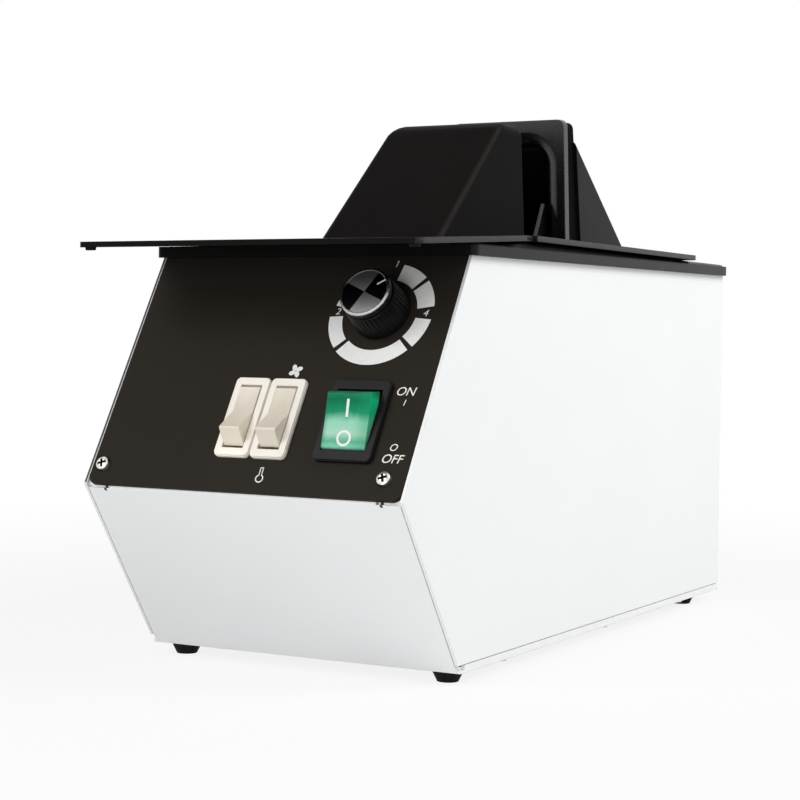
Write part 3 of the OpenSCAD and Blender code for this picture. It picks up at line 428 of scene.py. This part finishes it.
def put(bm, name, body, finishes, place=None, replaces=(), bevel=0.0, weighted=True):
    """Turns a bmesh into a finished piece that rides on a body."""
    if place is not None:
        bmesh.ops.transform(bm, matrix=place, verts=bm.verts)
    smooth_over(bm)
    mesh = bpy.data.meshes.new(name)
    bm.to_mesh(mesh)
    bm.free()
    for finish_name in finishes:
        mesh.materials.append(finish(finish_name))
    obj = bpy.data.objects.new(name, mesh)
    bpy.context.scene.collection.objects.link(obj)
    if bevel:
        edge = obj.modifiers.new("soft_edges", "BEVEL")
        edge.width, edge.segments = bevel * MM, 2
        edge.limit_method, edge.angle_limit = "ANGLE", math.radians(35)
    if weighted:
        obj.modifiers.new("face_normals", "WEIGHTED_NORMAL").keep_sharp = True
    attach(obj, body)
    if replaces:
        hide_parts(*replaces)


def from_cad(node):
    """A merged copy of a CAD piece, ready to be worked on."""
    bm = bmesh.new()
    bm.from_mesh(frame["nodes"][node].data)
    bmesh.ops.remove_doubles(bm, verts=bm.verts, dist=1e-6)
    bmesh.ops.dissolve_limit(
        bm, angle_limit=math.radians(0.6), verts=bm.verts, edges=bm.edges
    )
    return bm


def edged(node):
    """A copy of a CAD piece whose outer side faces take the second finish, a paler, glossier copy
    of the first: painted sheen.
    """
    bm = from_cad(node)
    reach = max(abs(corner[0]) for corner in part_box(node)) - STRIP_WIDTH * MM
    for face in bm.faces:
        outside = abs(face.calc_center_median().x) > reach
        face.material_index = 1 if outside and abs(face.normal.x) > 0.5 else 0
    return bm


def turned(profile, steps=96):
    """Spins an outline of (radius, height) pairs about z into a closed form."""
    bm = bmesh.new()
    verts = [bm.verts.new((radius, 0, height)) for radius, height in profile]
    edges = [bm.edges.new(pair) for pair in zip(verts, verts[1:])]
    bmesh.ops.spin(
        bm, geom=verts + edges, cent=(0, 0, 0), axis=(0, 0, 1),
        angle=math.tau, steps=steps, use_merge=True,
    )
    bmesh.ops.remove_doubles(bm, verts=bm.verts, dist=1e-5)
    bmesh.ops.recalc_face_normals(bm, faces=bm.faces)
    return bm


def gather(target, source, place=None):
    """Adds one bmesh to another, and frees it."""
    if place is not None:
        bmesh.ops.transform(source, matrix=place, verts=source.verts)
    mesh = bpy.data.meshes.new("step")
    source.to_mesh(mesh)
    source.free()
    target.from_mesh(mesh)
    bpy.data.meshes.remove(mesh)


def lettering(text, height, lean=0.0, thick=0.03):
    """Flat letters, height millimetres tall, centred on the origin."""
    curve = bpy.data.curves.new("letters", "FONT")
    curve.body, curve.size = text, height * 1.38
    curve.align_x, curve.align_y = "CENTER", "CENTER"
    curve.shear, curve.extrude = lean, thick
    obj = bpy.data.objects.new("letters", curve)
    bpy.context.scene.collection.objects.link(obj)
    mesh = bpy.data.meshes.new_from_object(obj)
    bm = bmesh.new()
    bm.from_mesh(mesh)
    bpy.data.objects.remove(obj)
    bpy.data.curves.remove(curve)
    bpy.data.meshes.remove(mesh)
    bmesh.ops.remove_doubles(bm, verts=bm.verts, dist=1e-4)
    return bm


def ring_part(inner, outer, start, end, thick=0.03):
    """Part of a flat ring, between two angles clockwise from up."""
    bm = bmesh.new()
    point = Vector((math.sin(math.radians(start)), math.cos(math.radians(start)), 0))
    verts = [bm.verts.new(point * inner), bm.verts.new(point * outer)]
    edge = bm.edges.new(verts)
    bmesh.ops.spin(
        bm, geom=verts + [edge], cent=(0, 0, 0), axis=(0, 0, -1),
        angle=math.radians(end - start), steps=max(4, int(abs(end - start) / 3)),
    )
    pull = bmesh.ops.extrude_face_region(bm, geom=bm.faces[:])
    moved = [item for item in pull["geom"] if isinstance(item, bmesh.types.BMVert)]
    bmesh.ops.translate(bm, vec=(0, 0, thick), verts=moved)
    bmesh.ops.recalc_face_normals(bm, faces=bm.faces)
    return bm


# ------------------------------------------------------------------ settings


class WarmerHousing(bpy.types.PropertyGroup):
    """Coats of the housing and panel, and the deck's edge."""

    white: FloatVectorProperty(
        name="White coat", description="Powder coat of the housing",
        default=(0.84, 0.85, 0.855), subtype="COLOR", size=3, min=0, max=1,
    )
    black: FloatVectorProperty(
        name="Panel coat", description="Black coat of the control panel",
        default=(0.0235, 0.0197, 0.0158), subtype="COLOR", size=3, min=0, max=1,
    )
    edge: FloatProperty(
        name="Edge radius", description="Rounding of the deck's edges", unit="LENGTH",
        default=0.5 * MM, min=0.1 * MM, max=MM, precision=5,
    )


class WarmerControls(bpy.types.PropertyGroup):
    """Knob, rockers and prints."""

    flutes: IntProperty(
        name="Flutes", description="Flutes round the knob's skirt", default=36, min=12, max=72
    )
    cream: FloatVectorProperty(
        name="Narrow rockers", description="Plastic of the two narrow switches",
        default=(0.80, 0.735, 0.62), subtype="COLOR", size=3, min=0, max=1,
    )
    green: FloatVectorProperty(
        name="Power rocker", description="Plastic of the power rocker",
        default=(0.006, 0.30, 0.13), subtype="COLOR", size=3, min=0, max=1,
    )
    ink: FloatVectorProperty(
        name="Print", description="Ink of the scale and signs",
        default=(0.80, 0.80, 0.78), subtype="COLOR", size=3, min=0, max=1,
    )


class WarmerStage(bpy.types.PropertyGroup):
    """Camera and lamps."""

    eye: FloatVectorProperty(
        name="Camera", description="Where the camera stands", subtype="XYZ", unit="LENGTH",
        size=3, default=(0.3966, -0.7618, 0.1344),
    )
    turn: FloatVectorProperty(
        name="Bearing", description="The camera's azimuth, fall and roll", subtype="EULER",
        unit="ROTATION", size=3,
        default=(math.radians(28.82), math.radians(2.194), math.radians(0.647)),
    )
    lens: FloatProperty(
        name="Lens", description="Focal length", unit="CAMERA", default=87.62, min=20, max=200
    )
    key: FloatProperty(
        name="Key lamp", description="Power of the front left lamp", unit="POWER", default=6.8
    )
    low: FloatProperty(
        name="Low lamp", description="Power of the low front lamp", unit="POWER", default=3.74
    )
    side: FloatProperty(
        name="Side lamp", description="Power of the right-hand lamp", unit="POWER", default=13.5
    )


def settings(name):
    """The scene's property group of that name."""
    return getattr(bpy.context.scene, name)


def green_plastic():
    """Clear green plastic, with light and shade painted into its colour: deep at the top, a
    painted milky glow lower down, painted shade on the left and on the flanks.
    """
    green = tuple(settings("warmer_controls").green)
    f = Finish("green_rocker", green, 0.16, Specular_IOR_Level=0.06)
    rocker = on_power_rocker()
    height = f.reach(rocker.translation, rocker.col[1].to_3d().normalized())
    side = f.reach(rocker.translation, ACROSS)
    streak = f.noise(1.6, 3, f.stretched((1, 0.3, 0.3)))
    cloud = f.noise(7, 2)
    level = (height + (streak - 0.5) * 1.6 + (cloud - 0.5) * 2.5 + 12) / 24
    # Painted glow and shade: the colour runs from dark green at the top to milky lower down.
    painted_glow_ramp = f.node("ShaderNodeValToRGB", {"stops": (
        (0.03, (0.10, 0.36, 0.24)), (0.10, (0.19, 0.55, 0.38)), (0.17, (0.10, 0.40, 0.26)),
        (0.30, (0.36, 0.64, 0.49)), (0.48, (0.27, 0.62, 0.45)), (0.63, (0.006, 0.26, 0.12)),
        (0.82, (0.001, 0.16, 0.065)), (0.90, (0.010, 0.20, 0.10)), (0.95, (0.03, 0.11, 0.07)),
    )}, {0: level})
    right = side.rises(2, 9) * 0.45
    # Painted shade on the left side of the face.
    left = (1 - side.rises(-9.2, -7.2)) * 0.4
    face = f.mix(right, f.mix(left, painted_glow_ramp, (0.03, 0.12, 0.08)), green)
    # Painted shade and light on the flanks, which carry the same ramp.
    painted_flank_shading = f.node("ShaderNodeValToRGB", {"stops": (
        (0.1, (0.012, 0.10, 0.06)), (0.45, (0.004, 0.26, 0.11)), (0.85, (0.01, 0.44, 0.19)),
        (0.97, (0.005, 0.12, 0.06)),
    )}, {0: level})
    f.feed(
        Base_Color=f.mix(side.rises(9.0, 9.3), face, painted_flank_shading),
        Roughness=streak * 0.12 + 0.1,
        Normal=f.relief(streak, 0.02, 0.3, 0.25),
    )
    return f


def round_dial(f):
    """Angle from up, clockwise, and distance in millimetres round the dial's axis."""
    centre = on_panel(DIAL_U, DIAL_V).translation
    side, up = f.reach(centre, ACROSS), f.reach(centre, PANEL_UP)
    return side.math("ARCTAN2", side, up), (side * side + up * up) ** 0.5


def turned_disc():
    """Lathe-turned cap: fine rings in its bump, and a painted reflection: light and dark quarters
    painted into its colour, which turn with the knob.
    """
    f = Finish("knob_disc", (0.3, 0.3, 0.3), 0.3, Metallic=1.0)
    angle, radius = round_dial(f)
    # Painted reflection: light and dark quarters by angle round the dial, lighter towards the
    # bottom.
    wave = angle * 2 - math.radians(140)
    painted_reflection_quarter = wave.math("COSINE", wave)
    fade = angle - math.radians(155)
    lower = fade.math("COSINE", fade)
    rings = (radius * 14).math("SINE", radius * 14)
    light = f.mix(lower.rises(-0.2, 1), (0.66, 0.64, 0.64), (0.36, 0.345, 0.345))
    f.feed(
        Base_Color=f.mix(painted_reflection_quarter.rises(-0.1, 0.1), light, (0.008, 0.0075, 0.0075)),
        Roughness=rings * 0.05 + 0.32,
        Normal=f.relief(rings, 0.01, 0.25),
    )
    return f


def bright_ring():
    """Chamfer round the cap, with a painted highlight: light below and to the right, dark at the
    upper left.
    """
    f = Finish("knob_ring", (0.5, 0.5, 0.5), 0.25, Metallic=1.0)
    angle, _ = round_dial(f)
    fade = angle - math.radians(150)
    scratch_and_highlight = f.noise(1.2, 4)
    # Painted highlight by angle round the dial, broken up by scratches, which also roughen it.
    painted_highlight = fade.math("COSINE", fade) + (scratch_and_highlight - 0.5) * 0.5
    f.feed(
        Base_Color=f.mix(painted_highlight.rises(-0.6, 0.9), (0.12, 0.116, 0.116), (0.58, 0.57, 0.57)),
        Roughness=scratch_and_highlight * 0.2 + 0.16,
    )
    return f


def screw_steel():
    """Plated pan heads with dirt on their faces, and painted shade in the cross recess and on the
    rim.
    """
    f = Finish("screw_steel", (0.72, 0.70, 0.66), 0.3, Metallic=1.0)
    low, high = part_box("panel_screws")
    half = (high[0] - low[0]) / 2 / MM - 3.1
    middle = on_panel(0, 0).translation
    middle.x = (high[0] + low[0]) / 2
    side, up = f.reach(middle, ACROSS), f.reach(middle, PANEL_UP) + SCREW_V
    off = side - side.math("SIGN", side) * half
    arms = []
    for a, b in ((math.cos(0.35), math.sin(0.35)), (-math.sin(0.35), math.cos(0.35))):
        across = off * a + up * b
        arms.append(across.math("ABSOLUTE", across))
    narrow = arms[0].math("MINIMUM", *arms)
    wide = arms[0].math("MAXIMUM", *arms)
    # Painted shade: the cross recess is dark in the colour as well as cut.
    recess = (1 - narrow.rises(0.4, 0.7)) * (1 - wide.rises(1.6, 2.1))
    # Painted shade on the head's flank.
    painted_flank_shading = 1 - f.reach(middle, PANEL_OUT).rises(0.9, 1.5)
    dirt = f.noise(0.8, 4)
    f.feed(
        Base_Color=f.mix(
            recess.math("MAXIMUM", recess, painted_flank_shading * 0.85),
            f.mix(dirt.rises(0.45, 0.7), (0.80, 0.78, 0.74), (0.45, 0.43, 0.40)),
            (0.03, 0.028, 0.025),
        ),
        Roughness=dirt * 0.3 + 0.2,
        Normal=f.soft_edges(0.25),
    )
    return f


RECIPES = {
    "white_coat": white_coat,
    "black_coat": lambda: powder_coat(
        "black_coat", tuple(settings("warmer_housing").black), 0.42, Specular_IOR_Level=0.03
    ),
    "deck_coat": lambda: powder_coat(
        "deck_coat", (0.006, 0.0055, 0.005), 0.4, edges=0.6, Specular_IOR_Level=0.03
    ),
    # Paler, glossier copies of the deck's black coat for the side strips: painted sheen.
    "deck_side_painted_sheen": lambda: powder_coat(
        "deck_side_painted_sheen", (0.010, 0.010, 0.010), 0.3, edges=2.2, Specular_IOR_Level=0.22
    ),
    "rim_painted_sheen": lambda: powder_coat(
        "rim_painted_sheen", (0.007, 0.007, 0.007), 0.3, edges=1.2, Specular_IOR_Level=0.12
    ),
    "hood_black": front_hood_black,
    "shell_black": lambda: moulded(
        "shell_black", (0.0075, 0.007, 0.0062), 0.42, edges=0.6, Specular_IOR_Level=0.08
    ),
    "plate_black": lambda: moulded(
        "plate_black", (0.0045, 0.0045, 0.0043), 0.26, edges=0.5, Specular_IOR_Level=0.6
    ),
    # Painted shade: the mouth plate behind its front, darker than the plate's front.
    "collar_painted_shade": lambda: moulded(
        "collar_painted_shade", (0.002, 0.002, 0.002), 0.5, Specular_IOR_Level=0.01
    ),
    "bezel_black": lambda: moulded(
        "bezel_black", (0.006, 0.006, 0.006), 0.34, edges=0.25, Specular_IOR_Level=0.15
    ),
    "knob_black": lambda: moulded(
        "knob_black", (0.0035, 0.0035, 0.0035), 0.3, Specular_IOR_Level=0.08
    ),
    "cream": lambda: moulded(
        "cream", tuple(settings("warmer_controls").cream), 0.3, edges=0.3,
        Subsurface_Weight=0.1, Subsurface_Scale=0.002,
    ),
    "cream_bezel": lambda: moulded("cream_bezel", (0.90, 0.85, 0.76), 0.4, edges=0.3),
    "green": green_plastic,
    "disc": turned_disc,
    "ring": bright_ring,
    "screw_steel": screw_steel,
    "zinc": lambda: plated("zinc", (0.62, 0.63, 0.65), 0.34),
    "dark_steel": lambda: plated("dark_steel", (0.09, 0.09, 0.09), 0.4),
    "brass": lambda: plated("brass", (0.72, 0.50, 0.20), 0.3),
    "motor_can": lambda: plated("motor_can", (0.26, 0.27, 0.28), 0.45, (30, 1, 1)),
    "wire": lambda: plated("wire", (0.36, 0.31, 0.28), 0.5, (1, 1, 1)),
    "rubber": lambda: rubbery("rubber", (0.007, 0.007, 0.007)),
    "nylon": lambda: moulded("nylon", (0.62, 0.60, 0.53), 0.45, edges=0.2),
    "grey_plastic": lambda: moulded("grey_plastic", (0.06, 0.065, 0.07), 0.45),
    "mica": lambda: moulded("mica", (0.52, 0.46, 0.34), 0.4, 2.5, 0.05),
    "phenolic": lambda: moulded("phenolic", (0.02, 0.018, 0.017), 0.4, edges=0.2),
    "board": lambda: moulded("board", (0.02, 0.13, 0.04), 0.35, 1.4, 0.05, 0.15),
    "ink": lambda: printed("ink", tuple(settings("warmer_controls").ink)),
}


# ------------------------------------------------------------------ operators


class WARMER_OT_stage(bpy.types.Operator):
    """Floor, lamps, world and camera"""

    bl_idname = "warmer.stage"
    bl_label = "Stage"

    def execute(self, context):
        stage = settings("warmer_stage")
        scene = context.scene
        scene.view_settings.view_transform = "Standard"

        self.sky(scene)
        bm = bmesh.new()
        bmesh.ops.create_grid(bm, x_segments=1, y_segments=1, size=FLOOR_HALF)
        mesh = bpy.data.meshes.new("floor")
        bm.to_mesh(mesh)
        bm.free()
        floor = bpy.data.objects.new("floor", mesh)
        scene.collection.objects.link(floor)
        mesh.materials.append(self.paper())

        self.lamp(context, "key", (-0.55, -1.15, 0.85), (0, 0, 0.1), 0.6, stage.key)
        self.lamp(context, "low", (0.05, -1.4, 0.25), (0, 0, 0.2), 0.4, stage.low)
        self.lamp(context, "side", (1.05, 0.25, 1.0), (0, 0, 0.1), 0.8, stage.side)
        self.aim_camera(scene, stage)
        return {"FINISHED"}

    @staticmethod
    def sky(scene):
        """White where it is seen or mirrored, and a dimmer fill light elsewhere."""
        world = bpy.data.worlds.new("studio")
        scene.world = world
        world.use_nodes = True
        nodes, links = world.node_tree.nodes, world.node_tree.links
        ground = nodes["Background"]
        ground.inputs[0].default_value, ground.inputs[1].default_value = (1, 1, 1, 1), FILL_LIGHT
        white = nodes.new("ShaderNodeBackground")
        white.inputs[0].default_value, white.inputs[1].default_value = (1, 1, 1, 1), 1.0
        path, mixer = nodes.new("ShaderNodeLightPath"), nodes.new("ShaderNodeMixShader")
        seen = path.outputs["Is Camera Ray"]
        for kind in ("Is Glossy Ray", "Is Transmission Ray"):
            either = nodes.new("ShaderNodeMath")
            either.operation, either.use_clamp = "ADD", True
            links.new(seen, either.inputs[0])
            links.new(path.outputs[kind], either.inputs[1])
            seen = either.outputs[0]
        links.new(seen, mixer.inputs[0])
        links.new(ground.outputs[0], mixer.inputs[1])
        links.new(white.outputs[0], mixer.inputs[2])
        links.new(mixer.outputs[0], nodes["World Output"].inputs[0])

    @staticmethod
    def paper():
        """White paper: it takes the object's shadow nearby and runs to plain white far off."""
        f = Finish("floor_paper", (0.72, 0.72, 0.72), 0.75, Specular_IOR_Level=0.0)
        grain = f.noise(2, 3)
        f.feed(Base_Color=f.mix(grain.rises(0.3, 0.7), (0.71, 0.71, 0.71), (0.74, 0.74, 0.74)))
        away = f.node("ShaderNodeVectorMath", {"operation": "LENGTH"}, {0: f.place()}, out="Value")
        glow = f.node("ShaderNodeEmission", None, {"Color": (1, 1, 1, 1), "Strength": 1.0})
        seen = f.node("ShaderNodeLightPath", out="Is Camera Ray")
        shiny = f.node("ShaderNodeLightPath", out="Is Glossy Ray")
        through = f.node("ShaderNodeLightPath", out="Is Transmission Ray")
        white = (seen + shiny + through) * (away.rises(0.2, 0.7) * 0.15 + 0.85)
        both = f.node(
            "ShaderNodeMixShader", None, {0: white, 1: Wire(f, f.shader.outputs[0]), 2: glow}
        )
        f.links.new(both.socket, f.nodes["Material Output"].inputs["Surface"])
        return f.material

    @staticmethod
    def lamp(context, name, where, target, size, power):
        """A square lamp that shines at a target."""
        data = bpy.data.lights.new(name, "AREA")
        data.energy, data.size = power, size
        obj = bpy.data.objects.new(name, data)
        context.scene.collection.objects.link(obj)
        aim = (Vector(target) - Vector(where)).to_track_quat("-Z", "Y")
        obj.matrix_world = Matrix.Translation(where) @ aim.to_matrix().to_4x4()

    @staticmethod
    def aim_camera(scene, stage):
        """A camera that stands and looks as the stage's settings say."""
        azimuth, fall, roll = stage.turn
        back = Vector((
            math.sin(azimuth) * math.cos(fall),
            -math.cos(azimuth) * math.cos(fall),
            math.sin(fall),
        ))
        right = Vector((math.cos(azimuth), math.sin(azimuth), 0))
        up = back.cross(right)
        across = right * math.cos(roll) + up * math.sin(roll)
        upright = up * math.cos(roll) - right * math.sin(roll)
        data = bpy.data.cameras.new("camera")
        data.lens, data.sensor_width = stage.lens, 36
        camera = bpy.data.objects.new("camera", data)
        scene.collection.objects.link(camera)
        turn = Matrix((across, upright, back)).transposed().to_4x4()
        camera.matrix_world = Matrix.Translation(Vector(stage.eye)) @ turn
        scene.camera = camera


class WARMER_OT_housing(bpy.types.Operator):
    """White sheet-metal housing"""

    bl_idname = "warmer.housing"
    bl_label = "Housing"

    def execute(self, context):
        paint("white_coat", "base_tray", "side_panel_left", "side_panel_right", "rear_panel")
        paint("black_coat", "control_panel")
        put(edged("top_cover"), "cover_lid", "housing",
            ["deck_coat", "rim_painted_sheen"], replaces=["top_cover"])
        paint("zinc", "rear_panel_screws", "tray_screws", "cover_screws", "foot_screws",
              "rear_hood_screws", "duct_screws", "outlet_guard", "motor_bracket", "motor_shaft",
              "blower_scroll", "heater_duct", "dial_control", "dial_shaft")
        paint("screw_steel", "panel_screws")
        paint("dark_steel", "runner_screws", "front_hood_screws")
        paint("brass", "dial_nut", "switch_terminals")
        paint("nylon", "deck_runners", "board_standoffs", "terminal_block")
        paint("rubber", "deck_bumpers", "foot_front_left", "foot_front_right",
              "foot_rear_left", "foot_rear_right", "cord_bush")
        paint("grey_plastic", "blower_wheel")
        paint("motor_can", "blower_motor")
        paint("mica", "heater_frame")
        paint("wire", "heater_coil")
        paint("phenolic", "thermal_cutout")
        paint("board", "control_board")
        paint("cream_bezel", "heat_switch_body", "fan_switch_body")
        paint("bezel_black", "power_switch_body")
        return {"FINISHED"}


class WARMER_OT_deck(bpy.types.Operator):
    """Sliding deck with eased edges"""

    bl_idname = "warmer.deck"
    bl_label = "Deck"

    def execute(self, context):
        put(edged("slide_deck"), "deck_plate", "deck",
            ["deck_coat", "deck_side_painted_sheen"], replaces=["slide_deck"],
            bevel=settings("warmer_housing").edge / MM)
        return {"FINISHED"}


class WARMER_OT_hoods(bpy.types.Operator):
    """Front hood, rear hood and mouth plate"""

    bl_idname = "warmer.hoods"
    bl_label = "Hoods"

    def execute(self, context):
        put(from_cad("front_hood"), "front_hood_shell", "deck",
            ["hood_black"], replaces=["front_hood"])
        put(from_cad("rear_hood"), "rear_hood_shell", "housing",
            ["shell_black"], replaces=["rear_hood"])
        bm = from_cad("mouth_plate")
        fronts = [face for face in bm.faces if face.normal.y < -0.95]
        face = max(fronts, key=lambda face: face.calc_area())
        spot, ahead = face.calc_center_median(), face.normal.copy()
        # Faces behind the plate's front take the second, darker finish: painted shade.
        for face in bm.faces:
            behind = ahead.dot(spot - face.calc_center_median())
            face.material_index = 1 if behind > MOUTH_FRONT * MM else 0
        put(bm, "mouth_frame", "housing", ["plate_black", "collar_painted_shade"],
            replaces=["mouth_plate"])
        return {"FINISHED"}


class WARMER_OT_knob(bpy.types.Operator):
    """Fluted dial knob with its turned metal cap"""

    bl_idname = "warmer.knob"
    bl_label = "Knob"

    def execute(self, context):
        place = on_panel(DIAL_U, DIAL_V)
        flutes = settings("warmer_controls").flutes
        bm = turned(SKIRT_OUTLINE, steps=flutes * 6)
        for vert in bm.verts:
            x, y, z = vert.co
            if FLUTES_FROM < z < FLUTES_TO and math.hypot(x, y) > 10:
                groove = (0.5 + 0.5 * math.cos(flutes * math.atan2(y, x))) ** 2
                fade = min(1, z - FLUTES_FROM, (FLUTES_TO - z) / 0.6)
                vert.co.xy *= 1 - FLUTE_DEPTH * groove * fade
        put(bm, "knob_skirt", "dial", ["knob_black"], place, ["knob_body"])

        bm = turned(CAP_OUTLINE, steps=128)
        for face in bm.faces:
            middle = face.calc_center_median()
            inside = math.hypot(*middle.xy) < CAP_FACE and middle.z > CAP_LIP
            face.material_index = 1 if inside else 0
        put(bm, "knob_top", "dial", ["ring", "disc"], place, ["knob_cap"])

        bm = bmesh.new()
        bmesh.ops.create_cube(bm, size=1, matrix=Matrix.Diagonal((0.5, 3.6, 0.12, 1)))
        bmesh.ops.translate(bm, vec=(0, 7.3, MARK_HEIGHT), verts=bm.verts)
        bmesh.ops.rotate(bm, verts=bm.verts, matrix=Matrix.Rotation(MARK_ANGLE, 3, "Z"))
        put(bm, "knob_mark", "dial", ["ink"], place, weighted=False)
        return {"FINISHED"}


class WARMER_OT_rockers(bpy.types.Operator):
    """Two narrow cream rockers and the green power rocker"""

    bl_idname = "warmer.rockers"
    bl_label = "Rockers"

    def execute(self, context):
        for name in ("heat", "fan"):
            put(from_cad(name + "_switch_rocker"), name + "_rocker_cap", name + "_rocker",
                ["cream"], replaces=[name + "_switch_rocker"], bevel=0.35)
        put(from_cad("power_switch_rocker"), "power_rocker_cap", "power_rocker",
            ["green"], replaces=["power_switch_rocker"], bevel=0.3)
        marks = bmesh.new()
        bar = bmesh.new()
        bmesh.ops.create_cube(bar, size=1, matrix=Matrix.Diagonal((1.05, 6.6, 0.05, 1)))
        for mark, up in ((bar, 4.6), (ring_part(2.15, 3.0, 0, 360, 0.05), -6.6)):
            lean = Matrix.Rotation(math.copysign(math.radians(2.3), up), 4, "X")
            dish = 6.96 + 0.4 * abs(up) / 10.1
            gather(marks, mark, Matrix.Translation((0, up, dish)) @ lean)
        put(marks, "power_rocker_marks", "power_rocker", ["ink"],
            on_power_rocker(), weighted=False)
        return {"FINISHED"}


class WARMER_OT_prints(bpy.types.Operator):
    """Dial scale, numbers and signs on the control panel"""

    bl_idname = "warmer.prints"
    bl_label = "Prints"

    def execute(self, context):
        scale = bmesh.new()
        for segment in SCALE_SEGMENTS:
            gather(scale, ring_part(*segment))
        put(scale, "dial_scale", "housing", ["ink"],
            on_panel(SCALE_U, DIAL_V, PRINT_LIFT), weighted=False)
        signs = bmesh.new()
        for text, height, u, v in CHARACTERS:
            gather(signs, lettering(text, height, 0.2), Matrix.Translation((u, -v, 0)))
        for turn in range(4):
            blade = bmesh.new()
            bmesh.ops.create_cone(
                blade, cap_ends=True, segments=20, radius1=1.3, radius2=1.3, depth=0.04,
                matrix=Matrix.Rotation(math.radians(90 * turn + 20), 4, "Z")
                @ Matrix.Translation((1.55, 0.35, 0.02)) @ Matrix.Diagonal((1.1, 0.75, 1, 1)),
            )
            gather(signs, blade, Matrix.Translation((FAN_SIGN[0], -FAN_SIGN[1], 0)))
        bulb = ring_part(1.25, 1.7, 20, 340, 0.04)
        for side, tall, across in ((-0.55, 3.2, 0.34), (0.55, 3.2, 0.34), (0, 0.34, 1.44)):
            bmesh.ops.create_cube(bulb, size=1, matrix=Matrix.Translation(
                (side, 2.9 if side else 4.4, 0.02)) @ Matrix.Diagonal((across, tall, 0.04, 1)))
        gather(signs, bulb, Matrix.Translation((HEAT_SIGN[0], -HEAT_SIGN[1], 0)))
        put(signs, "panel_signs", "housing", ["ink"],
            on_panel(lift=PRINT_LIFT), weighted=False)
        return {"FINISHED"}


class WARMER_PT_parts(bpy.types.Panel):
    """Lists the pieces that can be built"""

    bl_idname = "WARMER_PT_parts"
    bl_label = "Frame warmer"
    bl_space_type = "VIEW_3D"
    bl_region_type = "UI"
    bl_category = "Frame warmer"

    def draw(self, context):
        for operator in OPERATORS:
            self.layout.operator(operator.bl_idname)


GROUPS = {
    "warmer_housing": WarmerHousing,
    "warmer_controls": WarmerControls,
    "warmer_stage": WarmerStage,
}
OPERATORS = (
    WARMER_OT_stage,
    WARMER_OT_housing,
    WARMER_OT_deck,
    WARMER_OT_hoods,
    WARMER_OT_knob,
    WARMER_OT_rockers,
    WARMER_OT_prints,
)


def register():
    """Registers the classes and hangs the settings on the scene."""
    for cls in (*GROUPS.values(), *OPERATORS, WARMER_PT_parts):
        bpy.utils.register_class(cls)
    for name, group in GROUPS.items():
        setattr(bpy.types.Scene, name, PointerProperty(type=group))


def unregister():
    """Undoes register()."""
    for name in GROUPS:
        delattr(bpy.types.Scene, name)
    for cls in reversed((*GROUPS.values(), *OPERATORS, WARMER_PT_parts)):
        bpy.utils.unregister_class(cls)


def main():
    register()
    for operator in OPERATORS:
        group, name = operator.bl_idname.split(".")
        getattr(getattr(bpy.ops, group), name)()


if __name__ == "__main__":
    main()
